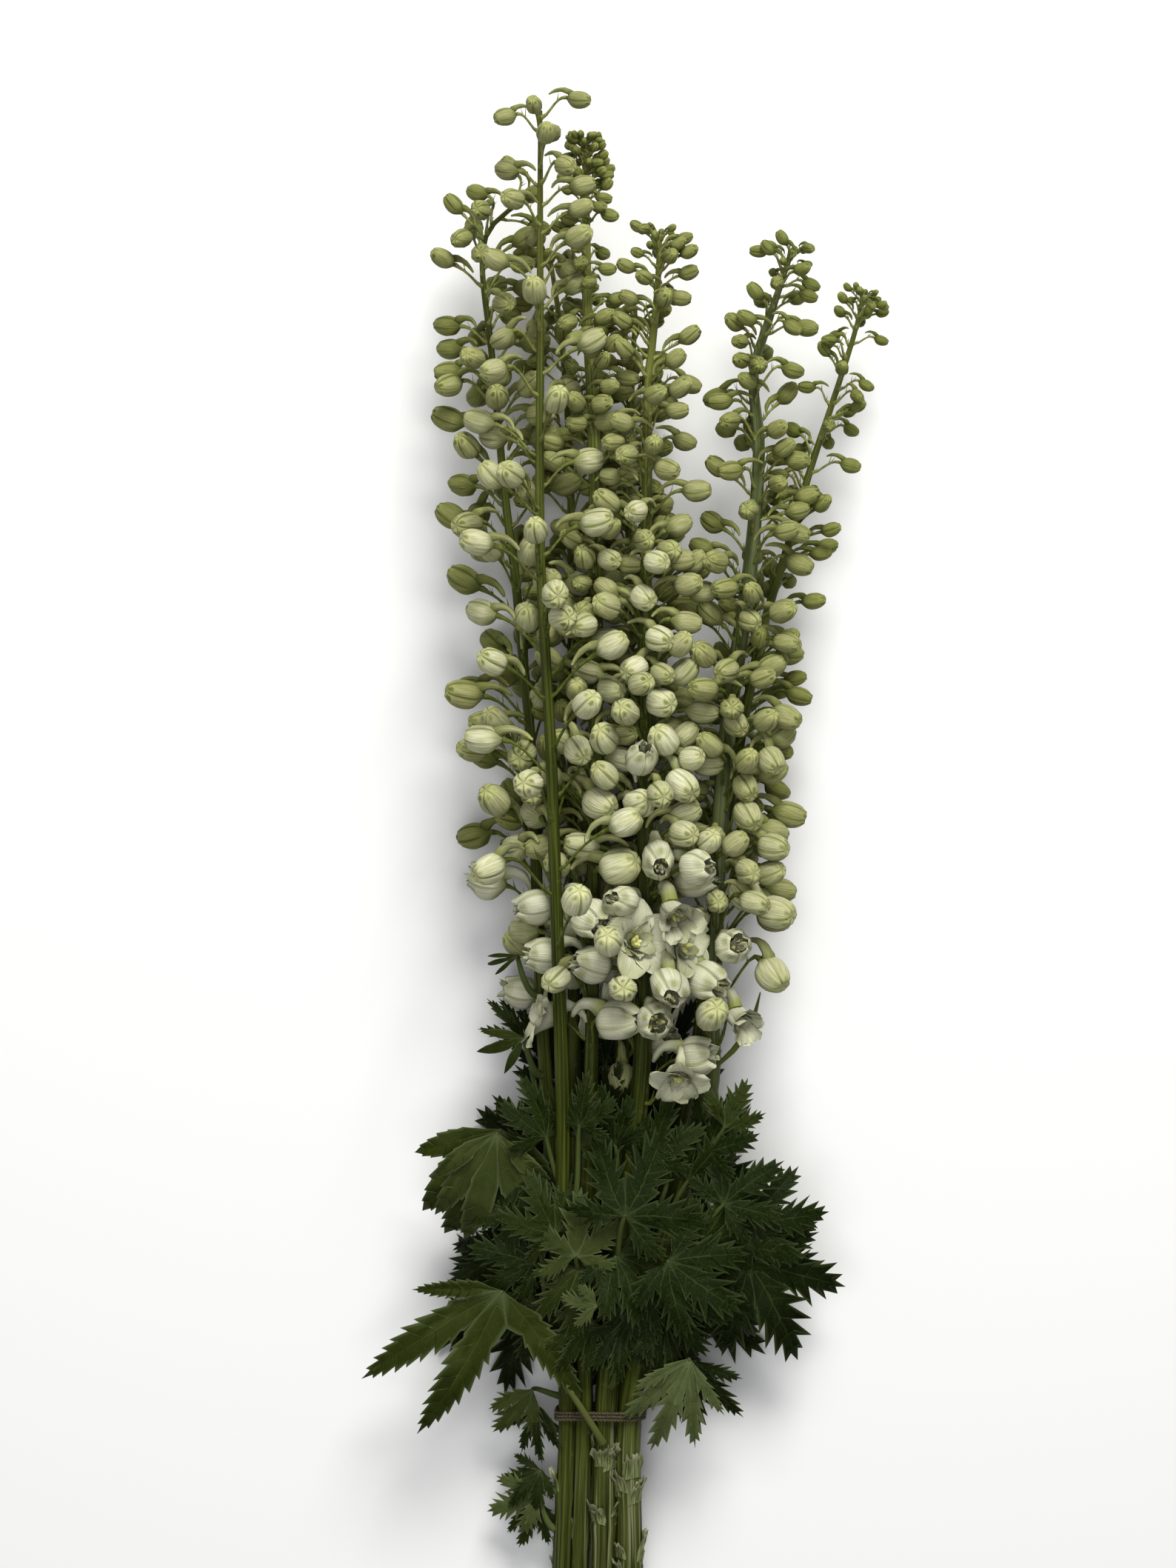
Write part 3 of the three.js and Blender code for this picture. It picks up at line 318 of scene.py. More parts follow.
class Skin:
    """Gathers the points and faces of one piece, with the values that its materials read."""

    def __init__(self):
        self.points = []
        self.values = []
        self.faces = []
        self.finishes = []
        self.count = 0

    def add(self, points, faces, finish, **values):
        """Takes in faces of four points. A negative one means that the face has only three."""
        points = np.asarray(points, float).reshape(-1, 3)
        row = np.zeros((len(points), len(VALUES)))
        for name, value in values.items():
            row[:, VALUES.index(name)] = value
        self.points.append(points)
        self.values.append(row)
        self.faces.append(np.where(faces < 0, -1, faces + self.count))
        self.finishes.append(np.full(len(faces), finish))
        self.count += len(points)

    def tube(self, rings, finish, **values):
        """A closed tube over rings of points (rings x sides x 3), each end drawn to its middle."""
        count, sides = rings.shape[:2]
        at = np.arange(count * sides).reshape(count, sides)
        turned = np.roll(at, -1, axis=1)
        quads = np.stack((at[:-1], turned[:-1], turned[1:], at[1:]), axis=-1).reshape(-1, 4)
        ends = []
        for ring, middle, flip in ((at[0], count * sides, True), (at[-1], count * sides + 1, False)):
            onward = np.roll(ring, -1)
            pair = (onward, ring) if flip else (ring, onward)
            ends.append(np.stack((*pair, np.full(sides, middle), np.full(sides, -1)), axis=-1))
        points = np.concatenate((rings.reshape(-1, 3), rings[:1].mean(axis=1), rings[-1:].mean(axis=1)))
        whole = {}
        for name, value in values.items():
            if np.ndim(value):
                grid = np.broadcast_to(value, (count, sides))
                whole[name] = np.concatenate((grid.reshape(-1), (grid[0].mean(), grid[-1].mean())))
            else:
                whole[name] = value
        self.add(points, np.concatenate((quads, *ends)), finish, **whole)

    def lens(self, grid, lift, finish, under=None, **values):
        """A sheet over a grid of points, as thick as lift says and closed where lift is nothing."""
        rows, columns = grid.shape[:2]
        across = np.gradient(grid, axis=1)
        ahead = np.gradient(grid, axis=0)
        normal = np.cross(across, ahead)
        normal /= np.maximum(np.linalg.norm(normal, axis=-1, keepdims=True), 1e-12)
        top = np.arange(rows * columns).reshape(rows, columns)
        low = np.where(lift > 0, top + rows * columns, top)
        quads = (
            np.stack((top[:-1, :-1], top[:-1, 1:], top[1:, 1:], top[1:, :-1]), axis=-1).reshape(-1, 4),
            np.stack((low[:-1, :-1], low[1:, :-1], low[1:, 1:], low[:-1, 1:]), axis=-1).reshape(-1, 4),
        )
        shift = normal * lift[..., None]
        points = np.concatenate(((grid + shift).reshape(-1, 3), (grid - shift).reshape(-1, 3)))
        whole = {}
        for name, value in values.items():
            flat = np.broadcast_to(value, (rows, columns)).reshape(-1)
            whole[name] = np.concatenate((flat, flat))
        if under is not None:
            whole["ripeness"] = np.concatenate((np.full(rows * columns, under), np.zeros(rows * columns)))
        self.add(points, np.concatenate(quads), finish, **whole)

    def build(self, name, materials, shift, weld=False):
        """Makes the piece, moved by shift and kept above the floor. weld joins points that meet."""
        points = np.concatenate(self.points) + shift
        points[:, 2] = np.maximum(points[:, 2], 0)
        values = np.concatenate(self.values)
        faces = np.concatenate(self.faces)
        finishes = np.concatenate(self.finishes)
        if weld:
            _, first, to = np.unique(np.round(points, 6), axis=0, return_index=True, return_inverse=True)
            points, values = points[first], values[first]
            faces = np.where(faces < 0, -1, to.reshape(-1)[faces])
        else:
            used = np.unique(faces[faces >= 0])
            to = np.zeros(len(points), int)
            to[used] = np.arange(len(used))
            points, values = points[used], values[used]
            faces = np.where(faces < 0, -1, to[faces])
        loops = []
        kept = []
        for face, finish in zip(faces.tolist(), finishes.tolist()):
            corners = [c for i, c in enumerate(face) if c >= 0 and c not in face[:i]]
            if len(corners) > 2:
                loops.append(corners)
                kept.append(finish)
        mesh = bpy.data.meshes.new(name)
        mesh.from_pydata(points.tolist(), [], loops)
        for material in materials:
            mesh.materials.append(material)
        mesh.polygons.foreach_set("material_index", kept)
        mesh.polygons.foreach_set("use_smooth", [True] * len(kept))
        for column, value in enumerate(VALUES):
            layer = mesh.attributes.new(value, "FLOAT", "POINT")
            layer.data.foreach_set("value", values[:, column].astype(np.float32))
        mesh.set_sharp_from_angle(angle=SHARP_EDGE)
        mesh.update()
        piece = bpy.data.objects.new(name, mesh)
        bpy.context.scene.collection.objects.link(piece)
        return piece


def circle(centre, side, up, radius, turns):
    """Points round a centre, at the given turns from side towards up."""
    radius = np.asarray(radius)[..., None]
    return centre + radius * (np.cos(turns)[:, None] * side + np.sin(turns)[:, None] * up)


def add_stem(skin, spike, finish, dice):
    """A ribbed stem, with rings from its cut end to its tip and a hollow in the cut end."""
    bottom, top = spike["axis"][0][1], spike["axis"][-1][1]
    heights = np.linspace(bottom, top, int((top - bottom) / STEM_RING) + 1)
    turns = np.arange(STEM_SIDES) * 2 * math.pi / STEM_SIDES
    phase = dice(*ANY_TURN)
    rings = []
    stout = STOUT.get(spike["name"], 1.0)
    for y in heights:
        centre, _, side, up = stem_frame(spike, y)
        sway = np.sin(SWAY[0] * turns + SWAY[1] * y + phase) * SWAY[2]
        rough = RIB_HEIGHT * mix(1.0, LOW_RIBS[0], rise(-y, 0.0, LOW_RIBS[1]))
        swell = sum(math.exp(-(((y - node) / NODE_LENGTH) ** 2)) for node in NODES.get(spike["name"], ()))
        fat = mix(1.0, stout, float(rise(y, *STOUT_FROM) * rise(top - y, 0.0, STOUT_END)))
        girth = 1 + rough * np.cos(RIBS * (turns + RIB_TWIST * y)) + sway + NODE_SWELL * swell
        rings.append(circle(centre, side, up, stem_radius(spike, y) * fat * girth, turns))
    centre, forward, side, up = stem_frame(spike, bottom)
    inner, depth = HOLLOW
    radius = stem_radius(spike, bottom)
    mouth = circle(centre, side, up, radius * inner, turns)
    rings = [mouth + forward * depth, mouth, *rings]
    along = np.concatenate(((bottom - 2 * CUT_RIM, bottom - CUT_RIM), heights))
    around = np.abs(2 * turns / (2 * math.pi) - 1)
    skin.tube(
        np.array(rings), finish, along=along[:, None], around=around[None, :], chance=dice(),
        ripeness=rise(bottom - along, 0.0, CUT_RIM)[:, None], spot=PALENESS_OF_STEM[spike["name"]],
        seam=YOUTH[spike["name"]],
    )


STUB_ROWS = 7
STUB_COLUMNS = 13
STUB_HEIGHT = (0.007, 0.020)
STUB_HALF_TURN = (0.5, 1.25)
STUB_FLARE = (0.05, 0.34)  # how far the torn edge stands off, over its height
STUB_CRUMPLE = 0.07  # over its height
CRUMPLES = (7, 4)  # radians of the crumpling from the middle to a side, and from foot to edge
STUB_TORN = (0.62, 1.0)  # how high its edge stands at each column, over its height
STUB_NARROWS = 0.25
STUB_SAGS = 0.12  # how far its sides start lower than its middle, over its height
STUB_SEAT = 1.03  # over the stem's radius
STUB_SCATTER = (-0.010, 0.010)  # up and down from its node
STUB_THICKNESS = 0.0012
STUB_THINS = (4, 5)  # its sides and its edge thin to nothing over one part in this many
STUBS = {"spike_4": 8, "spike_5": 8, "spike_8": 2, "spike_3": 2, "spike_1": 2, "spike_2": 2}  # at each node


def add_stub(skin, spike, y, finish, dice):
    """A trimmed leaf base: a torn sheet that clasps the stem and stands off at its upper edge."""
    centre, forward, side, up = stem_frame(spike, y)
    rows = np.linspace(0, 1, STUB_ROWS)[:, None]
    columns = np.linspace(-1, 1, STUB_COLUMNS)[None, :]
    height = dice(*STUB_HEIGHT)
    torn = np.array([dice(*STUB_TORN) for _ in range(STUB_COLUMNS)])[None, :]
    turns = dice(*ANY_TURN) + columns * dice(*STUB_HALF_TURN) * (1 - STUB_NARROWS * rows)
    ripple = np.sin(columns * CRUMPLES[0] + rows * CRUMPLES[1] + dice(*ANY_TURN))
    crumple = STUB_CRUMPLE * height * ripple * rows
    radius = stem_radius(spike, y) * STUB_SEAT + height * dice(*STUB_FLARE) * rows**2 + crumple
    ahead = height * (rows * mix(1.0, torn, rows) - STUB_SAGS * columns**2) + dice(*STUB_SCATTER)
    spokes = np.cos(turns)[..., None] * side + np.sin(turns)[..., None] * up
    grid = centre + spokes * radius[..., None] + forward * ahead[..., None]
    inside = np.minimum((1 - np.abs(columns)) * STUB_THINS[0], 1) * np.minimum((1 - rows) * STUB_THINS[1], 1)
    lift = STUB_THICKNESS / 2 * np.where(inside > TINY, inside, 0)
    skin.lens(grid, lift, finish, along=rows, around=columns, chance=dice())


# The solids stand round the middle of the whole bunch. The tie shows how far that is from the point
# between the stems where the tables above start counting.
TIE_BAND = (0.002275, 0.0029)  # half the band that stands out furthest, how far it is off the stems
lowest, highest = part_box("tie")
outermost = max(axis_at(s, y)[0] + stem_radius(s, y) for s in SPIKES for y in (-TIE_BAND[0], TIE_BAND[0]))
SHIFT = np.array((highest[0] - outermost - TIE_BAND[1], (lowest[1] + highest[1]) / 2, 0))


def new_group(name, inputs, outputs):
    """An empty shader group with these sockets, and where its insides read and hand over values."""
    group = bpy.data.node_groups.new(name, "ShaderNodeTree")
    for label in inputs:
        group.interface.new_socket(name=label, in_out="INPUT", socket_type="NodeSocketFloat")
    for label in outputs:
        group.interface.new_socket(name=label, in_out="OUTPUT", socket_type="NodeSocketFloat")
    return group, group.nodes.new("NodeGroupInput").outputs, group.nodes.new("NodeGroupOutput").inputs


def plug(tree, value, socket):
    """Links an output to a socket, or sets the socket to a plain value."""
    if isinstance(value, bpy.types.NodeSocket):
        link(tree, value, socket)
    else:
        socket.default_value = value


def calc(tree, operation, *values):
    node = tree.nodes.new("ShaderNodeMath")
    node.operation = operation
    for value, socket in zip(values, node.inputs):
        plug(tree, value, socket)
    return node.outputs["Value"]


def between(tree, value, low, high, first=0.0, last=1.0):
    """Goes smoothly from first to last while the value goes from low to high."""
    node = tree.nodes.new("ShaderNodeMapRange")
    node.interpolation_type = "SMOOTHSTEP"
    for number, socket in zip((value, low, high, first, last), node.inputs):
        plug(tree, number, socket)
    return node.outputs["Result"]


def value_of(tree, name):
    node = tree.nodes.new("ShaderNodeAttribute")
    node.attribute_name = name
    return node.outputs["Fac"]


def noise(tree, place, scale, detail):
    node = tree.nodes.new("ShaderNodeTexNoise")
    plug(tree, place, node.inputs["Vector"])
    plug(tree, scale, node.inputs["Scale"])
    plug(tree, detail, node.inputs["Detail"])
    return node.outputs["Fac"]


def place_of(tree):
    return tree.nodes.new("ShaderNodeTexCoord").outputs["Object"]


def ramp(tree, value, *stops):
    node = tree.nodes.new("ShaderNodeValToRGB")
    marks = node.color_ramp.elements
    while len(marks) < len(stops):
        marks.new(0.5)
    for mark, (position, colour) in zip(marks, stops):
        mark.position = position
        mark.color = (*colour, 1)
    link(tree, value, node.inputs["Fac"])
    return node.outputs["Color"]


def blend(tree, amount, first, second, way="MIX"):
    node = tree.nodes.new("ShaderNodeMix")
    node.data_type = "RGBA"
    node.blend_type = way
    plug(tree, amount, node.inputs[0])
    for colour, socket in ((first, node.inputs[6]), (second, node.inputs[7])):
        plug(tree, colour if isinstance(colour, bpy.types.NodeSocket) else (*colour, 1), socket)
    return node.outputs[2]


def new_material(name, roughness, sheen):
    material = bpy.data.materials.new(name)
    material.use_nodes = True
    shader = material.node_tree.nodes["Principled BSDF"]
    shader.inputs["Roughness"].default_value = roughness
    shader.inputs["Specular IOR Level"].default_value = sheen
    return material, material.node_tree, shader


def add_bump(tree, height, distance, shader, strength=1.0):
    node = tree.nodes.new("ShaderNodeBump")
    node.inputs["Distance"].default_value = distance
    node.inputs["Strength"].default_value = strength
    link(tree, height, node.inputs["Height"])
    link(tree, node.outputs["Normal"], shader.inputs["Normal"])


FIBRES_APART = 37.0  # sets the lines of one bud or leaf off from those of the next
FIBRE_DETAIL = 3.0
FIBRE_CONTRAST = (0.3, 0.7)


def fibres_group():
    """Fine lines that run lengthwise, out of a piece's turn and length values."""
    group, given, result = new_group("lengthwise_fibres", ("Around", "Along", "Chance", "Count"), ("Lines",))
    spread = group.nodes.new("ShaderNodeCombineXYZ")
    link(group, calc(group, "MULTIPLY", given["Around"], given["Count"]), spread.inputs["X"])
    link(group, given["Along"], spread.inputs["Y"])
    link(group, calc(group, "MULTIPLY", given["Chance"], FIBRES_APART), spread.inputs["Z"])
    lines = noise(group, spread.outputs["Vector"], 1.0, FIBRE_DETAIL)
    link(group, between(group, lines, *FIBRE_CONTRAST), result["Lines"])
    return group


def clouds_group():
    """Soft patches that run through a piece, each about a metre over their count wide."""
    group, given, result = new_group("soft_patches", ("Count", "Detail"), ("Cloud",))
    link(group, noise(group, place_of(group), given["Count"], given["Detail"]), result["Cloud"])
    return group


FIBRES = fibres_group()
CLOUDS = clouds_group()


def clouds(tree, count, detail):
    node = tree.nodes.new("ShaderNodeGroup")
    node.node_tree = CLOUDS
    node.inputs["Count"].default_value = count
    node.inputs["Detail"].default_value = detail
    return node.outputs["Cloud"]


def fibres(tree, count, stretch):
    node = tree.nodes.new("ShaderNodeGroup")
    node.node_tree = FIBRES
    link(tree, value_of(tree, "around"), node.inputs["Around"])
    link(tree, calc(tree, "MULTIPLY", value_of(tree, "along"), stretch), node.inputs["Along"])
    link(tree, value_of(tree, "chance"), node.inputs["Chance"])
    node.inputs["Count"].default_value = count
    return node.outputs["Lines"]


# The tones are pairs: between the fibres, and on them.
STEM_OLIVE = ((0.010, 0.015, 0.0012), (0.060, 0.075, 0.009))
STEM_GREY = ((0.026, 0.035, 0.010), (0.115, 0.134, 0.052))
GREY_FROM = (0.14, 0.26)  # heights over which the upper stem's tones set in
STEM_PALE = ((0.009, 0.013, 0.0012), (0.078, 0.090, 0.019))
PALE_STREAK = (0.21, 0.22, 0.12)
STEM_YOUNG = ((0.062, 0.076, 0.011), (0.180, 0.198, 0.048))
YOUNG_FROM = (0.32, 0.68)
CUT_FLESH = (0.42, 0.44, 0.26)
SCAR_BROWN = (0.10, 0.085, 0.03)
STUB_TONES = ((0.040, 0.054, 0.012), (0.200, 0.222, 0.100))
TORN_EDGE = (0.30, 0.30, 0.19)
PALE_BELOW = (-0.05, 0.03)  # heights between which a stem turns pale
STEM_SURFACE = (0.48, 0.08)  # roughness, sheen
WIDE_FIBRES = (11.0, 12.0)  # how many go round, how often they change over a metre
FINE_FIBRES = (34.0, 22.0)
FIBRE_SHARES = (0.6, 0.4)
STREAK_FIBRES = (15.0, 8.0)
STREAKS = (0.72, 1.0, 0.0, 0.85)
BLOTCHES = (140.0, 3.0)
BLOTCH_MASK = (0.62, 0.75, 0.0, 0.45)
STEM_RELIEF = 0.00025
STUB_SURFACE = (0.65, 0.1)
STUB_FIBRES = (12.0, 1.2)
TORN_EDGE_MASK = (0.7, 1.0, 0.0, 0.7)


def stem_material(name, young_tones, young_from):
    material, tree, shader = new_material(name, *STEM_SURFACE)
    wide_lines = between(tree, fibres(tree, *WIDE_FIBRES), 0.1, 0.9)
    wide_lines = calc(tree, "MULTIPLY", wide_lines, FIBRE_SHARES[0])
    fine_lines = calc(tree, "MULTIPLY", fibres(tree, *FINE_FIBRES), FIBRE_SHARES[1])
    lines = calc(tree, "ADD", wide_lines, fine_lines)
    dark = ramp(tree, lines, (0.0, STEM_OLIVE[0]), (1.0, STEM_OLIVE[1]))
    young = ramp(tree, lines, (0.0, young_tones[0]), (1.0, young_tones[1]))
    upward = between(tree, value_of(tree, "along"), *young_from)
    youth = calc(tree, "MULTIPLY", upward, value_of(tree, "seam"))
    dark = blend(tree, youth, dark, young)
    pale = ramp(tree, lines, (0.0, STEM_PALE[0]), (1.0, STEM_PALE[1]))
    low = between(tree, value_of(tree, "along"), *PALE_BELOW, 1.0, 0.0)
    paleness = calc(tree, "MULTIPLY", low, value_of(tree, "spot"))
    colour = blend(tree, paleness, dark, pale)
    streak = between(tree, fibres(tree, *STREAK_FIBRES), *STREAKS)
    colour = blend(tree, calc(tree, "MULTIPLY", streak, paleness), colour, PALE_STREAK)
    blotch = between(tree, clouds(tree, *BLOTCHES), *BLOTCH_MASK)
    colour = blend(tree, blotch, colour, SCAR_BROWN)
    colour = blend(tree, value_of(tree, "ripeness"), colour, CUT_FLESH)
    link(tree, colour, shader.inputs["Base Color"])
    add_bump(tree, lines, STEM_RELIEF, shader)
    return material


def stub_material():
    material, tree, shader = new_material("torn_leaf_base", *STUB_SURFACE)
    colour = ramp(tree, fibres(tree, *STUB_FIBRES), (0.1, STUB_TONES[0]), (0.9, STUB_TONES[1]))
    colour = blend(tree, between(tree, value_of(tree, "along"), *TORN_EDGE_MASK), colour, TORN_EDGE)
    link(tree, colour, shader.inputs["Base Color"])
    return material


STEM_GREEN = stem_material("ribbed_green_stem", STEM_YOUNG, YOUNG_FROM)
STEM_GREYISH = stem_material("greyish_green_stem", STEM_GREY, GREY_FROM)
TORN_BASE = stub_material()
STEM_FINISH, STUB_FINISH = 0, 1  # the places of those two in a stem's list of materials
STEM_SEED = 77
stem_dice = Dice(STEM_SEED)
for spike in SPIKES:
    skin = Skin()
    add_stem(skin, spike, STEM_FINISH, stem_dice)
    for node in NODES.get(spike["name"], ()):
        for _ in range(STUBS[spike["name"]]):
            add_stub(skin, spike, node, STUB_FINISH, stem_dice)
    green = STEM_GREYISH if spike["name"] == "spike_5" else STEM_GREEN
    piece = skin.build("stem_of_" + spike["name"], [green, TORN_BASE], SHIFT)
    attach(piece, "root")
    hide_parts(spike["name"])


# ---- Buds on their stalks ----
# Each closed bud is five sepals folded over one another, green where they meet and at their tips.
# The top one runs back into a spur over the thin stalk, which carries two hair-like bracts.

GOLDEN_TURN = math.pi * (3 - math.sqrt(5))  # from each bud to the next
TURN_SCATTER = 0.5
CROWDING = 1.12  # over 1 sets the buds closer together towards the tip
GROWTH = 0.55  # under 1 lets them reach their full length soon below the tip
LENGTH_SCATTER = (0.93, 1.07)
STALK_SCATTER = (0.85, 1.15)
BUD_PITCH = (-0.35, 0.75)  # radians that a bud points up, off square to the stem
BUD_FATNESS = 0.8  # its width over its length
BUD_GIRTH = 0.54  # half the room that it takes up, over its width
ROOTED = 0.6  # where in the stem a stalk starts, over the stem's radius
SEATED = 0.95
COLLAR = 0.0022  # how far the stalk's foot stands off the stem
STALK_RADIUS = 0.0009
STALK_BOW = ((0.72, 0.55), (1.1, 0.45))  # radians off the stem, share of the stalk's length
SPUR = (0.5, 0.34)  # end of the room for a spur, back and up from the bud's foot, over its length
OPEN_FATNESS = 1.12  # an open floret's, and then its pitch and its stalk over a closed bud's
OPEN_PITCH = 0.4
OPEN_STALK = 0.6
BUD_CLEARANCE = 0.0011
SECOND_CLEARANCE = -0.0012  # the buds that fill in between may touch
FRONT_CLEARANCE = -0.003
SWINGS = (0, 0.3, -0.3, 0.6, -0.6, 0.9, -0.9, 1.25, -1.25)  # radians, tried until a bud is clear
REACHES = (1, 0.78, 1.22, 0.6)  # over its stalk's length, tried at each swing
STEM_ROD = 0.03
MOST_RODS = 6000
SEED = (1000, 77)
FILLING_SEED = 9000
TIP_SEED = 5000
SKIN_SEED = 300

FILLING_BUDS = {
    "spike_1": 14, "spike_2": 34, "spike_3": 60, "spike_4": 60,
    "spike_5": 46, "spike_6": 36, "spike_7": 50, "spike_8": 50,
}
FILLING_DEPTH = 0.97  # share of the spike's height over which they stand
FILLING_STEP = (0.5, 2.3)  # first golden turn, golden turns between them
FILLING_SIZE = 0.94
FULL_IN_FRONT = ("spike_3", "spike_4", "spike_5", "spike_8")
IN_FRONT = (3, 5)  # of every five filling buds, three face the front there
FRONT_SPREAD = 1.0  # radians to either side of straight up
FRONT_YAW = (0.5, 1.2)  # radians that those are swung outwards
TIP_BUDS = {"spike_3": 44, "spike_6": 12, "spike_5": 8, "spike_4": 10}  # in the dense head at the very tip
TIP_BUD = (0.0040, 0.0070)
TIP_HEAD = (0.037, 0.0075)  # how far down it reaches, how wide it is
FULL_TIP = 20  # buds over which a head reaches all that way, others half of it
TIP_SCATTER = ((0.85, 1.15), (0.8, 1.2))  # of lengths and of stalks
TIP_PITCH = (0.1, 0.8)
TIP_STALK = 0.001
TIP_FATNESS = 0.86
PALENESS = {"spike_5": 0.8, "spike_6": 0.7, "spike_3": 0.9}  # share of the way to white


class Room:
    """The rods that stems, stalks and buds take up, so that neighbours can be kept apart."""

    def __init__(self):
        self.ends = np.zeros((MOST_RODS, 2, 3))
        self.radius = np.zeros(MOST_RODS)
        self.owner = np.zeros(MOST_RODS, int)
        self.count = 0

    def take(self, owner, rods):
        for _, a, b, radius in rods:
            self.ends[self.count] = (a, b)
            self.radius[self.count] = radius
            self.owner[self.count] = owner
            self.count += 1

    def is_clear(self, owner, rods, clearance):
        ends, radius = self.ends[: self.count], self.radius[: self.count]
        mine = self.owner[: self.count] == owner
        for kind, a, b, thickness in rods:
            if min(a[2], b[2]) < thickness:
                return False
            gaps = segment_gaps(a, b, ends[:, 0], ends[:, 1]) - thickness - radius
            if (gaps[~mine] < clearance).any():
                return False
            if kind == "bud" and (gaps[mine] < min(clearance, 0)).any():
                return False
        return True


PARALLEL = 1e-21


def segment_gaps(a, b, c, d):
    """The shortest distances between the segment a-b and each segment c-d."""
    u, v, w = b - a, d - c, a - c
    uu, uv, vv = u @ u, v @ u, (v * v).sum(axis=1)
    uw, vw = w @ u, (v * w).sum(axis=1)
    spread = uu * vv - uv * uv
    s = np.where(spread > PARALLEL, np.clip((uv * vw - vv * uw) / np.maximum(spread, PARALLEL), 0, 1), 0)
    t = np.clip((uv * s + vw) / vv, 0, 1)
    s = np.clip((uv * t - uw) / uu, 0, 1)
    return np.linalg.norm(a + s[:, None] * u - c - t[:, None] * v, axis=1)


def bud_at(stem, collar, neck, direction, crown, length, fatness, stalk):
    """All that the parts of a bud or floret are drawn from. stem: middle, radius, along and out."""
    centre, radius, forward, out = stem
    return {
        "root": centre + out * ROOTED * radius, "seat": centre + out * SEATED * radius,
        "collar": collar, "neck": neck, "out": out, "forward": forward,
        "direction": direction, "crown": crown,
        "length": length, "width": length * fatness, "stalk": stalk,
        "spur": neck - direction * SPUR[0] * length + crown * SPUR[1] * length,
    }


def place_bud(spike, y, turn, pitch, length, stalk, fatness, yaw=0.0):
    """A bud whose stalk leaves the stem at a height and turn, swung sideways by its yaw."""
    centre, forward, side, up = stem_frame(spike, y)
    out = side * math.cos(turn) + up * math.sin(turn)
    facing = side * math.cos(turn + yaw) + up * math.sin(turn + yaw)
    radius = stem_radius(spike, y)
    collar = centre + out * (radius + COLLAR) + forward * 0.5 * COLLAR
    neck = collar
    for angle, part in STALK_BOW:
        neck = neck + (forward * math.cos(angle) + out * math.sin(angle)) * part * stalk
    direction = facing * math.cos(pitch) + forward * math.sin(pitch)
    crown = forward * math.cos(pitch) - facing * math.sin(pitch)
    return bud_at((centre, radius, forward, out), collar, neck, direction, crown, length, fatness, stalk)


def bud_rods(bud):
    """The room that a bud takes up: its stalk, the bud itself and its spur."""
    half = BUD_GIRTH * bud["width"]
    neck, direction = bud["neck"], bud["direction"]
    base, tip = neck + direction * half, neck + direction * (bud["length"] - half)
    return (
        ("stalk", bud["collar"], neck, STALK_RADIUS),
        ("bud", base, tip, half),
        ("spur", neck, bud["spur"], STALK_RADIUS),
    )


def sprout(number, share, step, is_open, roll, room, clearance, turn=None, yaw=0.0):
    """One bud at a share of the way down the spike, swung or shortened until it is clear."""
    spike = SPIKES[number]
    y = mix(spike["top"], spike["low"], share**CROWDING)
    scatter = (roll() - 0.5) * TURN_SCATTER
    turn = (spike["turn"] + step * GOLDEN_TURN if turn is None else turn) + scatter
    pitch = mix(*BUD_PITCH, roll()) * (OPEN_PITCH if is_open else 1)
    length = mix(*spike["bud"], share**GROWTH) * mix(*LENGTH_SCATTER, roll())
    stalk = mix(*spike["stalk"], share) * mix(*STALK_SCATTER, roll()) * (OPEN_STALK if is_open else 1)
    fatness = OPEN_FATNESS if is_open else BUD_FATNESS
    for swing in SWINGS:
        for reach in REACHES:
            bud = place_bud(spike, y, turn + swing, pitch, length, stalk * reach, fatness, yaw)
            rods = bud_rods(bud)
            if room.is_clear(number, rods, clearance):
                room.take(number, rods)
                return {**bud, "share": share}
    return None


def grow(number, room):
    """The buds and open florets of a spike, from the lowest up."""
    spike = SPIKES[number]
    roll = Dice(SEED[0] + SEED[1] * number)
    buds, florets = [], []
    for k in range(spike["buds"] - 1, -1, -1):
        share = k / (spike["buds"] - 1)
        is_open = k >= spike["buds"] - spike["open"]
        bud = sprout(number, share, k, is_open, roll, room, BUD_CLEARANCE)
        if bud and is_open:
            openness = (k - spike["buds"] + spike["open"] + 1) / spike["open"]
            florets.append({**bud, "openness": openness})
        elif bud:
            buds.append(bud)
    return buds, florets


def fill_in(number, room):
    """More buds, a little smaller, between the first ones."""
    name = SPIKES[number]["name"]
    roll = Dice(FILLING_SEED + number)
    count = FILLING_BUDS[name]
    buds = []
    for j in range(count):
        share = (j + 0.5) / count * FILLING_DEPTH
        step = FILLING_STEP[0] + j * FILLING_STEP[1]
        turn, yaw = None, 0.0
        if name in FULL_IN_FRONT and j % IN_FRONT[1] < IN_FRONT[0]:
            turn = math.pi / 2 + roll(-FRONT_SPREAD, FRONT_SPREAD)
            yaw = roll(*FRONT_YAW) * (1 if turn > math.pi / 2 else -1)
        bud = sprout(number, share, step, False, roll, room, SECOND_CLEARANCE, turn, yaw)
        if bud:
            smaller = {key: bud[key] * FILLING_SIZE for key in ("length", "width")}
            buds.append({**bud, **smaller})
    return buds


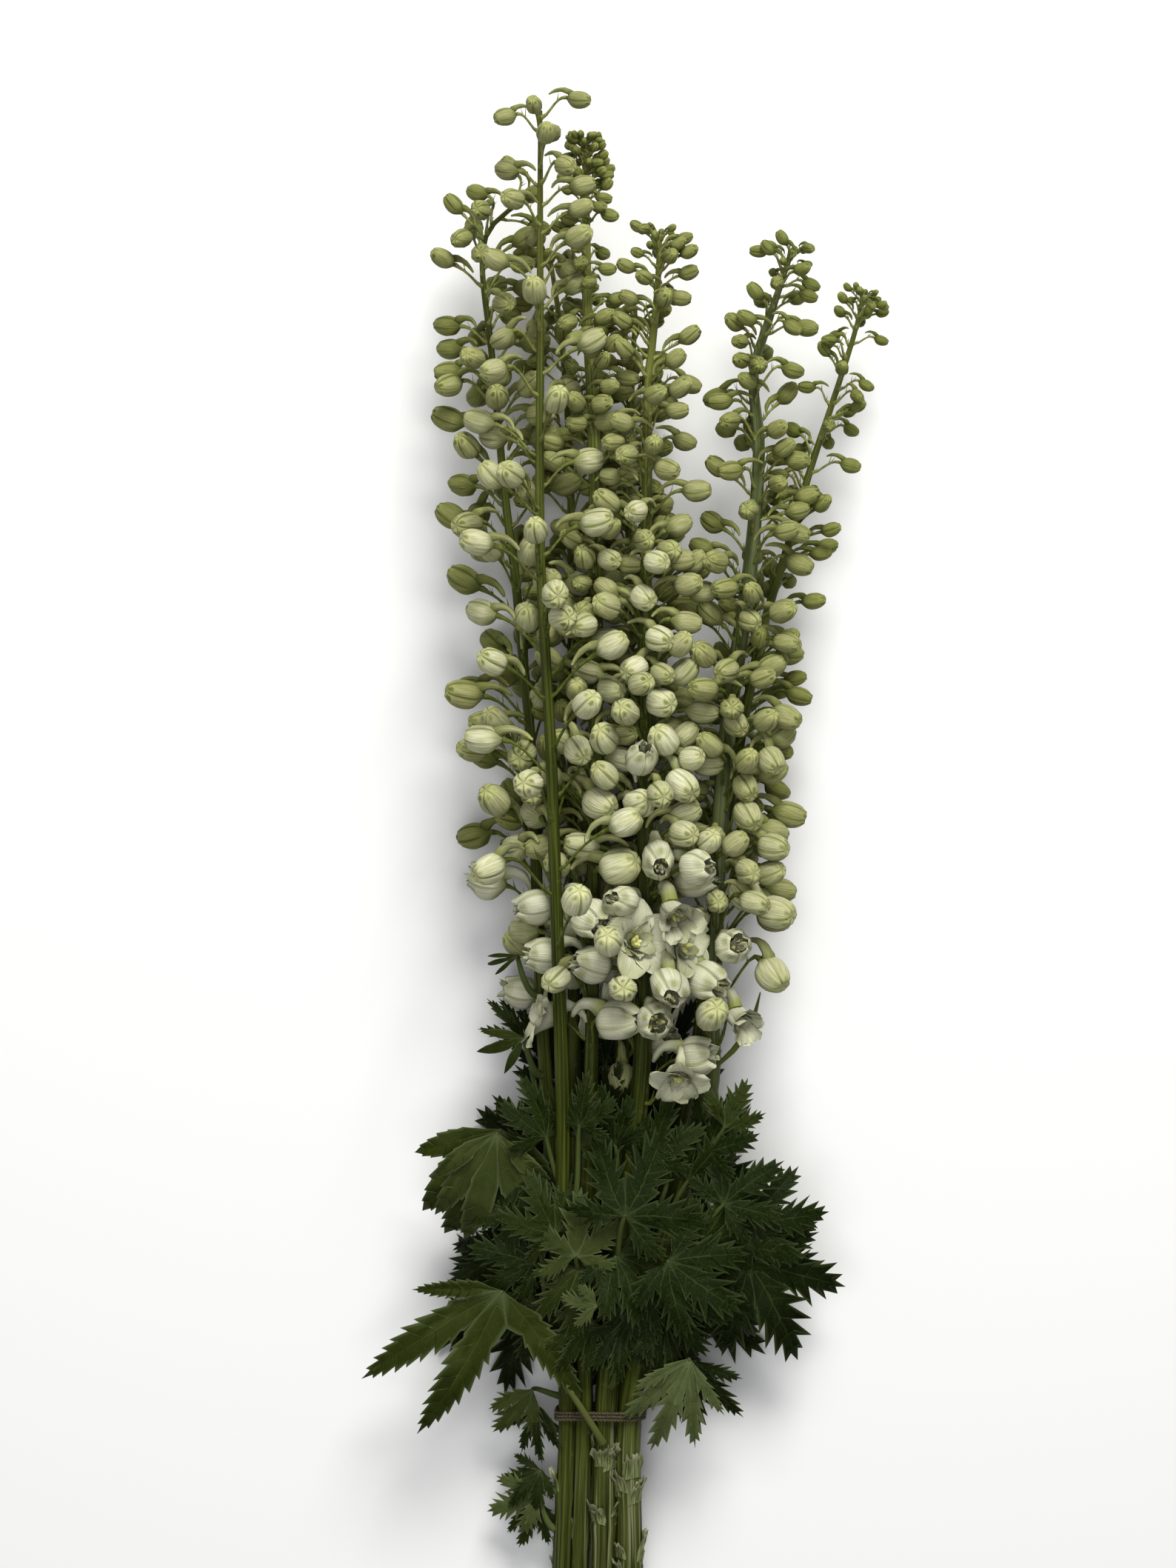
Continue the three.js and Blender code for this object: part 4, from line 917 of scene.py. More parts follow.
def tip_head(spike, number):
    """The dense head of tiny green buds that the youngest spikes still carry."""
    roll = Dice(TIP_SEED + number)
    count = TIP_BUDS.get(spike["name"], 0)
    top = spike["axis"][-1][1]
    buds = []
    for j in range(count):
        t = j / max(count - 1, 1)
        y = top - TIP_HEAD[0] * t * t * (1 if count > FULL_TIP else 0.5)
        length = mix(*TIP_BUD, t) * roll(*TIP_SCATTER[0])
        stalk = mix(TIP_STALK, TIP_HEAD[1], math.sqrt(t)) * roll(*TIP_SCATTER[1])
        bud = place_bud(spike, y, j * GOLDEN_TURN, roll(*TIP_PITCH), length, stalk, TIP_FATNESS)
        buds.append({**bud, "share": 0.0})
    return buds


def bezier(points, t):
    """Where a bent line that four points draw out runs, at each t from 0 to 1."""
    a, b, c, d = (np.asarray(p)[None, :] for p in points)
    t = np.asarray(t)[:, None]
    s = 1 - t
    return a * s**3 + 3 * b * s * s * t + 3 * c * s * t * t + d * t**3


def add_bent_tube(skin, points, radii, sides, crown, finish, flat=1.0, **values):
    """A tube along a bent line of four points. Radii are spread evenly along it."""
    steps = np.linspace(0, 1, len(radii))
    centres = bezier(points, steps)
    tangents = np.gradient(centres, axis=0)
    tangents /= np.linalg.norm(tangents, axis=1, keepdims=True)
    side = np.cross(tangents, crown)
    side /= np.maximum(np.linalg.norm(side, axis=1, keepdims=True), 1e-9)
    up = np.cross(side, tangents)
    turns = np.arange(sides) * 2 * math.pi / sides
    sideways = np.cos(turns)[None, :, None] * side[:, None, :]
    upwards = np.sin(turns)[None, :, None] * up[:, None, :] * flat
    rings = centres[:, None, :] + np.asarray(radii)[:, None, None] * (sideways + upwards)
    skin.tube(rings, finish, along=steps[:, None], around=(turns / (2 * math.pi))[None, :], **values)


SEPALS = 5
SEPAL_TURN = 2 * math.pi / SEPALS
SEPAL_COLUMNS = (0.0, 0.15, 0.628, 1.107)  # radians from one seam on, up to the next
SMALL_SEPAL_COLUMNS = (0.0, 0.3, 0.957)
BUD_ROWS = 15
SMALL_BUD_ROWS = 8
SMALL_BUD = 0.0105
SHELL_ENDS = (0.3, 3.0)  # a shell's rows run over these turns of a half circle, from 0 to pi
SEAM_WIDTH = 0.15  # radians, as the other widths on a shell are
SEAM_DEPTH = (0.1, 1.25)  # some seams are tight and hardly show
GROOVE = (0.10, 0.08, 0.26)  # over the girth: at the foot, so much more at the tip, where tips part
PARTING = (0.84, 1.0)
LAP = (0.04, 0.3)  # how far each sepal stands over the next at a seam, how wide that edge is
LAP_FROM = (0.1, 0.5)
PIT = (0.9, 0.06, 0.3)  # a dimple near each tip: how far up, its height, its width
PIT_DEPTH = 0.2
PITS = (0.5, 1.2)
SWELL = 0.07  # how far out of round a bud may be
SLIM_FOOT = (-0.12, 0.3, 0.3)  # shares of its length over which it fills out, how full it starts
BLUNT_TIP = (0.07, 0.93, 1.0)  # how much shorter the tip is drawn, over which shares of the length
RIB_TIP = (0.02, 0.35, 0.8, 1)  # how much longer a sepal is at its rib, how wide that is, from where on
SAG = 0.06  # of the shell's middle, over its width
SHELL_GIRTH = (0.49, 0.535)  # over the bud's width, young and ripe
SHELL_LENGTH = (1.32, 1.14)
BASE_ROUNDNESS = (1.6, 0.85)
TIP_ROUNDNESS = (0.9, 0.74)
BUD_TWIST = 0.35
STALK_FINISH, SEPAL_FINISH = 0, 1  # the places of their materials in a list


def bell(x, width):
    return np.exp(-((x / width) ** 2))


def shell_columns(columns):
    """Turns of a shell's columns, and how far each is off its seam and off the rib of its sepal."""
    turns = (np.arange(SEPALS)[:, None] * SEPAL_TURN + columns[None, :]).reshape(-1)
    off = np.tile(np.where(columns > SEPAL_TURN / 2, columns - SEPAL_TURN, columns), SEPALS)[None, :]
    return turns, off, SEPAL_TURN / 2 - np.abs(off)


def each_sepal(columns, low, high, roll):
    """A random number for each sepal, at each of its columns."""
    return np.repeat([roll(low, high) for _ in range(SEPALS)], len(columns))[None, :]


def slim_foot(t):
    return mix(rise(t, *SLIM_FOOT[:2]), 1, SLIM_FOOT[2])


def spokes(bud, angle):
    """Directions square to a bud's axis, at turns counted from its crown."""
    across = np.cross(bud["direction"], bud["crown"])
    return np.cos(angle)[..., None] * bud["crown"] + np.sin(angle)[..., None] * across


def add_bud_shell(skin, bud, roll):
    """Five folded sepals as one shell, pinched in at their seams and at their tips."""
    ripe = bud["ripeness"]
    length, width = mix(*SHELL_LENGTH, ripe) * bud["length"], bud["width"]
    is_small = length < SMALL_BUD
    columns = np.array(SMALL_SEPAL_COLUMNS if is_small else SEPAL_COLUMNS)
    turns, off, from_rib = shell_columns(columns)
    phi = np.linspace(*SHELL_ENDS, SMALL_BUD_ROWS if is_small else BUD_ROWS)[:, None]
    t = (1 - np.cos(phi)) / 2
    depth = np.array([roll(*SEAM_DEPTH) for _ in range(SEPALS)])
    side_of_rib = (columns > SEPAL_TURN / 2).astype(int)
    depth = np.stack((depth, np.roll(depth, -1)), axis=1)[:, side_of_rib].reshape(1, -1)
    seam = bell(off, SEAM_WIDTH)
    groove = seam * ((GROOVE[0] + GROOVE[1] * t) * depth + GROOVE[2] * rise(t, *PARTING))
    lap = LAP[0] * bell(off, LAP[1]) * np.sign(off + 1e-9) * rise(t, *LAP_FROM)
    pit = bell(t - PIT[0], PIT[1]) * bell(from_rib, PIT[2]) * each_sepal(columns, *PITS, roll)
    swell = 1 + SWELL * roll(0.0, 1.0) * np.cos(2 * turns[None, :] + roll(0, 6))
    roundness = mix(mix(*BASE_ROUNDNESS, ripe), mix(*TIP_ROUNDNESS, ripe), t)
    girth = mix(*SHELL_GIRTH, ripe) * width * np.sin(phi) ** roundness
    girth = girth * (1 - groove + lap - PIT_DEPTH * pit) * swell * slim_foot(t)
    point = RIB_TIP[0] * bell(from_rib, RIB_TIP[1]) * rise(t, *RIB_TIP[2:])
    ahead = length * (t - BLUNT_TIP[0] * rise(t, *BLUNT_TIP[1:]) + point)
    direction, crown = bud["direction"], bud["crown"]
    angle = turns[None, :] + SEPAL_TURN / 2 + BUD_TWIST * (t - 0.5) * roll(-1, 1)
    centre = bud["neck"] + direction * ahead[..., None] - crown * (SAG * width * np.sin(phi))[..., None]
    shown = seam * rise(t, 0.0, 0.3) * np.clip(depth + 0.5 * rise(t, 0.6, 1.0), 0, 1)
    skin.tube(
        centre + girth[..., None] * spokes(bud, angle), SEPAL_FINISH, ripeness=ripe, along=t,
        around=(turns / SEPAL_TURN)[None, :], spot=pit, seam=shown, chance=bud["chance"],
    )


SPUR_LINE = ((0.3, 0.2), (-0.05, 0.48), (-0.42, 0.5))  # ahead over the bud's length, up over its width
SPUR_BACK = (0.62, 0.85)
SPUR_LIFT = (-0.02, 0.2)
SPUR_ASIDE = 0.12
SPUR_RADII = (0.2, 0.21, 0.185, 0.16, 0.14, 0.125, 0.105, 0.085, 0.05)  # over the bud's width
SPUR_LUMPS = (0.09, 2.1)  # height over the radius, radians from ring to ring
SPUR_RIPENESS = 0.75
SPUR_GREEN = 0.3
SPUR_SIDES = 6


def add_spur(skin, bud, roll):
    """The hollow horn that the top sepal is drawn back into, bent down over the stalk."""
    length, width = bud["length"], bud["width"]
    neck, direction, crown = bud["neck"], bud["direction"], bud["crown"]
    across = np.cross(direction, crown) * roll(-SPUR_ASIDE, SPUR_ASIDE)
    end = neck - (direction + across) * length * roll(*SPUR_BACK) + crown * length * roll(*SPUR_LIFT)
    bends = [neck + direction * ahead * length + crown * lift * width for ahead, lift in SPUR_LINE]
    radii = np.array(SPUR_RADII) * width
    radii *= 1 + SPUR_LUMPS[0] * np.sin(np.arange(len(radii)) * SPUR_LUMPS[1] + roll(0, 6))
    add_bent_tube(
        skin, (*bends, end), radii, SPUR_SIDES, crown, SEPAL_FINISH,
        ripeness=bud["ripeness"] * SPUR_RIPENESS, spot=SPUR_GREEN, chance=bud["chance"],
    )


FOOT_RADII = (2.0, 1.6, 1.2)  # over the stalk's radius
STALK_SIDES = 6
HAIR_RADII = (0.00034, 0.0003, 0.0001)
HAIR_LENGTH = (0.003, 0.0065)
FULL_BUD = 0.014  # shorter buds have shorter hairs
BRACT_RADII = (0.0007, 0.0012, 0.0009, 0.00012)
BRACT_LENGTH = (0.008, 0.015)
BRACT_FLATNESS = 0.3


def add_stalk(skin, bud, roll):
    """The stalk from the stem to the bud, with its two bracts and the leaf-like one at its root."""
    root, collar, neck, direction = bud["root"], bud["collar"], bud["neck"], bud["direction"]
    forward, out, stalk, length = bud["forward"], bud["out"], bud["stalk"], bud["length"]
    young = 1 - float(rise(bud["share"], 0.2, 0.75))
    radius = min(STALK_RADIUS, 0.0004 + length * 0.03)
    bend = (
        collar,
        collar + (forward * 0.75 + out * 0.66) * 0.5 * stalk,
        neck - direction * min(0.3 * stalk, 0.5 * length),
        neck + direction * 0.04 * length,
    )
    foot = (root, mix(root, collar, 0.3), mix(root, collar, 0.6), collar + (forward + out) * 0.0006)
    add_bent_tube(skin, foot, np.array(FOOT_RADII) * radius, STALK_SIDES, forward, STALK_FINISH, seam=young)
    flare = 0.13 * bud["width"]
    radii = (1.15 * radius, radius, 0.95 * radius, radius, mix(radius, flare, 0.35), flare)
    add_bent_tube(skin, bend, radii, STALK_SIDES, forward, STALK_FINISH, seam=young, chance=bud["chance"])
    across = np.cross(direction, forward)
    for hand in (-1, 1):
        start = bezier(bend, [roll(0.42, 0.6)])[0]
        reach = roll(*HAIR_LENGTH) * min(1, length / FULL_BUD)
        lean = unit(forward + out * roll(0.1, 0.7) + across * hand * roll(0.3, 0.9))
        points = (
            start,
            start + lean * reach * 0.4,
            start + lean * reach * 0.8,
            start + (lean + forward * 0.3) * reach,
        )
        add_bent_tube(skin, points, HAIR_RADII, 3, out, STALK_FINISH, seam=young)
    reach = mix(0.35, 0.85, bud["share"]) * roll(*BRACT_LENGTH)
    start = bud["seat"] - forward * 0.002 - out * 0.0006
    points = (
        start,
        start + (forward * 0.6 + out * 0.7) * reach * 0.4,
        start + (forward * 0.8 + out * 0.75) * reach * 0.75,
        start + (forward * 1.2 + out * 0.55) * reach,
    )
    add_bent_tube(
        skin, points, BRACT_RADII, 5, out, STALK_FINISH,
        flat=BRACT_FLATNESS, seam=young, spot=1 - young,
    )


# The tones are pairs or runs: the shade and the light of a stalk, a sepal from its young green to
# its ripe white, and what its lines, flush, seams and tip are tinted with.
STALK_OLIVE = ((0.036, 0.050, 0.007), (0.095, 0.115, 0.022))
STALK_YOUNG = ((0.100, 0.116, 0.025), (0.230, 0.240, 0.078))
BRACT_GREEN = (0.085, 0.108, 0.022)
SEPAL_TONES = (
    (0.0, (0.140, 0.156, 0.036)), (0.35, (0.214, 0.222, 0.078)),
    (0.7, (0.306, 0.305, 0.152)), (1.0, (0.580, 0.570, 0.415)),
)
SEPAL_LINE = (0.64, 0.67, 0.46)
SEPAL_FLUSH = (0.84, 0.88, 0.64)
SEPAL_GREEN = ((0.3, (0.045, 0.060, 0.008)), (1.0, (0.13, 0.15, 0.028)))
TIP_YELLOW = ((0.3, (0.32, 0.34, 0.10)), (1.0, (0.50, 0.51, 0.22)))
BUD_SURFACE = (0.5, 0.06)
STALK_PATCHES = (260.0, 2.0)
SEPAL_FIBRES = (13.0, 2.4)
FLUSH_PATCHES = (120.0, 1.0)
FLUSH_MASK = (0.35, 0.7, 0.0, 0.35)
SEPAL_RELIEF = (0.0003, 0.6)


def stalk_material():
    material, tree, shader = new_material("olive_flower_stalk", *BUD_SURFACE)
    patches = clouds(tree, *STALK_PATCHES)
    low = ramp(tree, patches, (0.3, STALK_OLIVE[0]), (0.7, STALK_OLIVE[1]))
    high = ramp(tree, patches, (0.3, STALK_YOUNG[0]), (0.7, STALK_YOUNG[1]))
    colour = blend(tree, value_of(tree, "seam"), low, high)
    colour = blend(tree, value_of(tree, "spot"), colour, BRACT_GREEN)
    link(tree, colour, shader.inputs["Base Color"])
    return material


def sepal_material():
    material, tree, shader = new_material("white_green_sepal", *BUD_SURFACE)
    along, seam, spot = value_of(tree, "along"), value_of(tree, "seam"), value_of(tree, "spot")
    ripeness, chance = value_of(tree, "ripeness"), value_of(tree, "chance")
    lines = fibres(tree, *SEPAL_FIBRES)
    body = ramp(tree, ripeness, *SEPAL_TONES)
    body = blend(tree, between(tree, lines, 0.1, 0.9, 0.75, 0.0), body, SEPAL_LINE, "MULTIPLY")
    flush = between(tree, clouds(tree, *FLUSH_PATCHES), *FLUSH_MASK)
    body = blend(tree, flush, body, SEPAL_FLUSH, "MULTIPLY")
    tip = between(tree, along, 0.72, 1.0, 0.0, 0.6)
    body = blend(tree, tip, body, ramp(tree, ripeness, *TIP_YELLOW))
    base = calc(tree, "MULTIPLY", between(tree, along, 0.0, 0.38, 1.0, 0.0), 0.8)
    edge = calc(tree, "MULTIPLY", between(tree, seam, 0.2, 0.9), 0.9)
    dimple = calc(tree, "MULTIPLY", between(tree, spot, 0.1, 0.8), 0.9)
    green = calc(tree, "MAXIMUM", calc(tree, "MAXIMUM", base, edge), dimple)
    green = calc(tree, "MULTIPLY", green, between(tree, chance, 0.0, 1.0, 0.75, 1.0))
    body = blend(tree, green, body, ramp(tree, ripeness, *SEPAL_GREEN))
    link(tree, body, shader.inputs["Base Color"])
    add_bump(tree, lines, SEPAL_RELIEF[0], shader, SEPAL_RELIEF[1])
    return material


STALK = stalk_material()
SEPAL = sepal_material()

room = Room()
for owner, spike in enumerate(SPIKES):
    bottom, top = spike["axis"][0][1], spike["axis"][-1][1]
    y = bottom
    while y < top - 0.001:
        end = min(y + STEM_ROD, top)
        room.take(owner, [("stem", axis_at(spike, y), axis_at(spike, end), stem_radius(spike, y))])
        y += STEM_ROD
grown = {spike["name"]: grow(number, room) for number, spike in enumerate(SPIKES)}

# Heads that nod in front of the others, placed ahead of the filling buds: the number of each one's
# spike, where its head is, how far it leans right and up for each step towards the sky, its length,
# and how open it is, from 0 for a closed bud to 1 for a wide, ruffled floret.
FRONT_HEADS = (
    (8, 0.014, 0.233, 0.1, -0.8, 0.022, 0.6), (8, 0.018, 0.213, 0.0, -1.0, 0.02, 0.0),
    (4, 0.05, 0.238, -0.2, -0.3, 0.026, 1.0), (3, 0.013, 0.276, 0.1, -0.3, 0.026, 0.9),
    (4, 0.027, 0.297, 0.5, 0.3, 0.024, 1.0), (4, 0.052, 0.214, -0.1, -1.0, 0.018, 1.0),
    (3, 0.013, 0.249, 1.6, 0.1, 0.026, 0.05), (4, 0.046, 0.272, 0.1, -0.5, 0.024, 0.3),
    (5, 0.068, 0.281, 0.9, -0.4, 0.025, 0.6), (4, 0.048, 0.314, 0.3, -0.4, 0.026, 0.8),
    (5, 0.065, 0.325, -0.2, 0.3, 0.024, 0.5), (4, 0.027, 0.323, 0.3, -0.5, 0.023, 0.4),
    (4, 0.039, 0.347, 0.1, -0.3, 0.023, 0.25), (3, 0.005, 0.312, 0.8, -0.6, 0.024, 0.6),
    (3, -0.006, 0.274, -0.8, 1.0, 0.024, 0.2), (5, 0.088, 0.25, 0.5, -0.6, 0.022, 0.8),
    (5, 0.071, 0.254, 0.3, 0.4, 0.022, 0.0), (3, 0.014, 0.336, 1.8, 0.4, 0.025, 0.0),
    (3, -0.006, 0.36, 0.7, -1.1, 0.026, 0.0), (4, 0.061, 0.342, 0.9, 0.1, 0.022, 0.4),
    (3, 0.017, 0.356, 1.8, -0.2, 0.023, 0.0), (5, 0.078, 0.297, 1.0, -0.8, 0.023, 0.1),
    (3, 0.003, 0.382, 1.3, -0.7, 0.022, 0.0), (4, 0.027, 0.381, 0.6, 0.2, 0.02, 0.0),
    (4, 0.053, 0.393, 0.9, -0.9, 0.022, 0.0), (4, 0.058, 0.408, 1.4, 0.2, 0.016, 0.0),
    (4, 0.029, 0.406, 0.2, 0.7, 0.021, 0.2), (5, 0.092, 0.392, 0.5, -0.9, 0.018, 0.0),
    (5, 0.1, 0.408, 0.6, -1.0, 0.018, 0.0), (5, 0.093, 0.375, 0.6, -0.9, 0.02, 0.0),
    (4, 0.062, 0.358, 0.5, 0.6, 0.016, 0.0), (5, 0.074, 0.361, 0.0, -0.1, 0.015, 0.0),
    (5, 0.092, 0.328, 0.7, -0.9, 0.022, 0.0), (5, 0.109, 0.316, 1.6, -0.5, 0.023, 0.0),
    (5, 0.075, 0.322, 0.1, -0.1, 0.016, 0.0), (5, 0.107, 0.348, 1.6, -0.3, 0.019, 0.0),
    (5, 0.108, 0.279, 1.0, -1.2, 0.022, 0.0), (3, 0.008, 0.419, -0.4, 0.6, 0.02, 0.0),
    (4, 0.044, 0.418, -0.8, 0.9, 0.02, 0.0), (3, -0.009, 0.414, 0.5, -0.8, 0.019, 0.0),
    (4, 0.04, 0.442, 1.0, -0.3, 0.019, 0.0), (4, 0.026, 0.462, -0.9, -0.5, 0.018, 0.0),
    (4, 0.046, 0.48, 1.1, -0.5, 0.018, 0.0), (4, 0.03, 0.505, 0.7, -0.6, 0.017, 0.0),
    (4, 0.042, 0.53, 1.0, -0.2, 0.016, 0.0), (4, 0.027, 0.556, -0.9, -0.2, 0.015, 0.0),
    (5, 0.086, 0.43, 0.6, -0.8, 0.017, 0.0), (5, 0.082, 0.462, -0.9, -0.5, 0.016, 0.0),
    (5, 0.094, 0.492, 0.8, -0.6, 0.015, 0.0), (3, 0.01, 0.45, 1.1, -0.3, 0.018, 0.0),
    (3, -0.004, 0.488, -1.0, -0.4, 0.017, 0.0), (3, 0.009, 0.528, 1.0, -0.3, 0.015, 0.0),
)
HEAD_RISE = 0.023  # of a head over the middle of its stem
HEAD_STALK_DROP = 0.016  # how far below the head its stalk leaves the stem
CLOSED_FATNESS = 0.86
FRONT_FATNESS = 0.92  # of an open head, over that of other open florets
FRONT_SHIFTS = (  # tried until a head is clear
    (0, 0, 0), (0, 0, 0.008), (0.007, 0, 0.004), (-0.007, 0, 0.004), (0, 0.007, 0.004),
    (0, -0.007, 0.004), (0, 0, 0.015), (0.005, 0.005, 0.012), (-0.005, -0.005, 0.012),
)


def place_head(spike, x, y, right, upward, length, fatness):
    """A floret whose head is at x and y, over the stem that it hangs on."""
    centre, forward, _, _ = stem_frame(spike, y - HEAD_STALK_DROP)
    direction = unit(np.array((right, upward, 1.0)))
    head = np.array((x, y, axis_at(spike, y)[2] + HEAD_RISE))
    neck = head - direction * length * 0.5
    away = neck - centre
    out = unit(away - forward * (away @ forward))
    radius = stem_radius(spike, y)
    crown = unit(forward - direction * (forward @ direction))
    stalk = np.linalg.norm(away) - radius
    collar = centre + out * (radius + COLLAR)
    head = bud_at((centre, radius, forward, out), collar, neck, direction, crown, length, fatness, stalk)
    return {**head, "share": 1.0}


DEEP_BUD_PAINTED_SHADE = 0.18  # painted shade: a bud deep in the bunch keeps only this share of its whiteness, so it shows darker and greener
SHADE_FROM = (0.04, 0.105)  # heights over the floor between which that painted shade ends
WHITE_BELOW = (0.3, 0.08)  # the lowest buds are as good as white; over what length that sets in
WHITENING = 0.65
FIRST_PALENESS = {  # of the smallest buds at a spike's tip
    "spike_1": 0.42, "spike_2": 0.42, "spike_7": 0.25, "spike_4": 0.2, "spike_5": 0.05, "spike_6": 0.0,
}
OTHER_PALENESS = 0.1
SMALLEST_BUD = 0.004
BUD_GROWTH = 0.0165  # length that the largest buds have on the smallest
RIPENING = (0.35, 0.65, 0.8)  # by size, by the way down the spike, how soon that counts

HALF_OPEN = 0.8
SIGHT = (0.03, 0.008)  # nothing grows this far over the face of an open floret, nor this far beside it

in_front = []
for on, x, y, right, upward, length, openness in FRONT_HEADS:
    name = f"spike_{on}"
    owner = next(i for i, spike in enumerate(SPIKES) if spike["name"] == name)
    fatness = OPEN_FATNESS * FRONT_FATNESS if openness else CLOSED_FATNESS
    for aside, along, lift in FRONT_SHIFTS:
        bud = place_head(SPIKES[owner], x + aside, y + along, right, upward, length, fatness)
        bud["neck"] = bud["neck"] + UP * lift
        if room.is_clear(owner, bud_rods(bud)[1:2], FRONT_CLEARANCE):
            room.take(owner, bud_rods(bud))
            if openness >= HALF_OPEN:
                middle = bud["neck"] + bud["direction"] * 0.5 * length
                room.take(owner, [("sight", middle, middle + UP * SIGHT[0], SIGHT[1])])
            in_front.append({**bud, "openness": openness, "on": name})
            break
for number, spike in enumerate(SPIKES):
    name = spike["name"]
    buds = grown[name][0] + fill_in(number, room) + tip_head(spike, number)
    buds += [head for head in in_front if head["on"] == name and not head["openness"]]
    paleness = PALENESS.get(name, 1.0)
    roll = Dice(SKIN_SEED + number)
    skin = Skin()
    for bud in buds:
        size = np.clip((bud["length"] - SMALLEST_BUD) / BUD_GROWTH, 0, 1)
        age = RIPENING[0] * size + RIPENING[1] * bud["share"] ** RIPENING[2]
        # Painted shade: buds low in the bunch, where the bunch shades them, get a lower ripeness value and
        # so a darker, greener colour.
        light = mix(DEEP_BUD_PAINTED_SHADE, 1.0, float(rise(bud["neck"][2], *SHADE_FROM)))
        ripe = mix(FIRST_PALENESS.get(name, OTHER_PALENESS), 1.0, age) * paleness * light
        low = float(rise(WHITE_BELOW[0] - bud["neck"][1], -WHITE_BELOW[1], 0.0))
        white = WHITENING * low * paleness**3
        bud["ripeness"] = mix(ripe, 1.0, white)
        bud["chance"] = roll()
        add_bud_shell(skin, bud, roll)
        add_spur(skin, bud, roll)
        add_stalk(skin, bud, roll)
    piece = skin.build("buds_of_" + name, [STALK, SEPAL], SHIFT)
    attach(piece, "root")
    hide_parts(name)


# ---- Open florets ----
# Each open floret is a cup of five white sepals with rolled rims round a ring of smaller petals, and
# yellow-green bits stand in its dark throat. It sits on the same kind of stalk as the buds.

PETAL_STEPS = (0.0, 0.08, 0.22, 0.38, 0.53, 0.67, 0.79, 0.89, 0.96, 1.0)
PETAL_COLUMNS = (-1.0, -0.9, -0.62, -0.3, 0.0, 0.3, 0.62, 0.9, 1.0)
INNER_STEPS = (0.0, 0.2, 0.45, 0.66, 0.83, 0.95, 1.0)
INNER_COLUMNS = (-1.0, -0.75, -0.25, 0.25, 0.75, 1.0)
PETAL_FINISH, THROAT_FINISH = 1, 2
PETAL_THICKNESS = 0.00045
BEND_STEPS = 60
THROAT = 0.0016  # distance of the petals' feet from the floret's axis
# Degrees that a petal points up, off square to the axis, at its foot, a quarter, half, three quarters
# and its tip.
WIDE_BENDS = (35, 62, 48, 22, -35)
HALF_BENDS = (32, 76, 88, 74, 15)
INNER_BENDS = (58, 90, 97, 100, 55)
SEPAL_SIZE = (1.26, 0.70)  # over the floret's length: length, half the width
INNER_SIZE = (0.70, 0.30)
INNER_PETALS = 8
THROAT_BITS = 5
THROAT_RADII = (0.0008, 0.0009, 0.0019, 0.0017, 0.0007)
# The mouth of a cup is drawn in like that of a jar. Turns from its foot to the rim, from 0 to pi.
MOUTH = (2.80, 2.34)
CUP_GIRTH = (0.46, 0.49)  # over the floret's width, nearly closed and open
CUP_LENGTH = 1.16
SEPAL_UNEVEN = (0.045, 0.09)  # how much one sepal of a cup is longer, and wider, than the next
CUP_OUTSIDE_ROWS = 12
CUP_INSIDE_ROWS = 6
CUP_FOOT = (0.3, 0.8)  # turns at which its outside and its inside start
CUP_SEAM = 0.14
CUP_GROOVE = (0.08, 0.15)
CUP_PIT = (0.1, 0.08, 0.35, 0.1)
CUP_LAP = 0.05
CUP_SWELL = 0.14
CUP_RIPPLES = ((0.03, 3), (0.02, 7))  # over the girth and the length, how many go round
CUP_TWIST = 0.3


def add_petal(skin, place, turn, size, bends, ruffle, roll, is_inner=False, **values):
    """A sheet bent up from its foot as the bends say, and round the floret's axis."""
    foot, axis, first, second = place
    steps = np.array(INNER_STEPS if is_inner else PETAL_STEPS)
    columns = np.array(INNER_COLUMNS if is_inner else PETAL_COLUMNS)[None, :]
    fine = np.linspace(0, 1, BEND_STEPS + 1)
    angle = np.radians(np.interp(fine, np.linspace(0, 1, len(bends)), bends))
    step = size[0] / BEND_STEPS
    reach = np.interp(steps, fine, THROAT + np.concatenate(((0,), np.cumsum(np.cos(angle[:-1]) * step))))
    height = np.interp(steps, fine, np.concatenate(((0,), np.cumsum(np.sin(angle[:-1]) * step))))
    spread = size[1] * np.sin(math.pi * (0.1 + 0.83 * steps**0.85)) ** 0.6
    spread[-1] *= 0.55
    half_turn = np.minimum(spread / np.maximum(reach, 0.002), 0.95)[:, None]
    flow = steps[:, None]
    phase = roll(*ANY_TURN)
    wave = ruffle * size[0] * flow**2 * np.sin(columns * 5.5 + phase) * np.abs(columns) ** 0.7
    dent = -0.05 * size[0] * bell(columns, 0.25) * rise(flow, 0.5, 1.0)
    around = turn + columns * half_turn
    curl = 0.1 * size[0] * np.abs(columns) ** 3 * rise(flow, 0.3, 0.8)
    radius = reach[:, None] + 0.5 * wave - curl * 0.4
    ahead = height[:, None] + 0.8 * wave + dent + curl * roll(0.0, 0.8)
    radial = np.cos(around)[..., None] * first + np.sin(around)[..., None] * second
    grid = foot + radial * radius[..., None] + axis * ahead[..., None]
    inside = np.minimum(1 - np.abs(columns), 1) * np.minimum(np.minimum(flow, 1 - flow) * 8, 1)
    lift = PETAL_THICKNESS / 2 * np.where(inside > TINY, np.minimum(inside * 6, 1), 0)
    skin.lens(grid, lift, PETAL_FINISH, around=columns * 2.5 + turn, along=flow, **values)


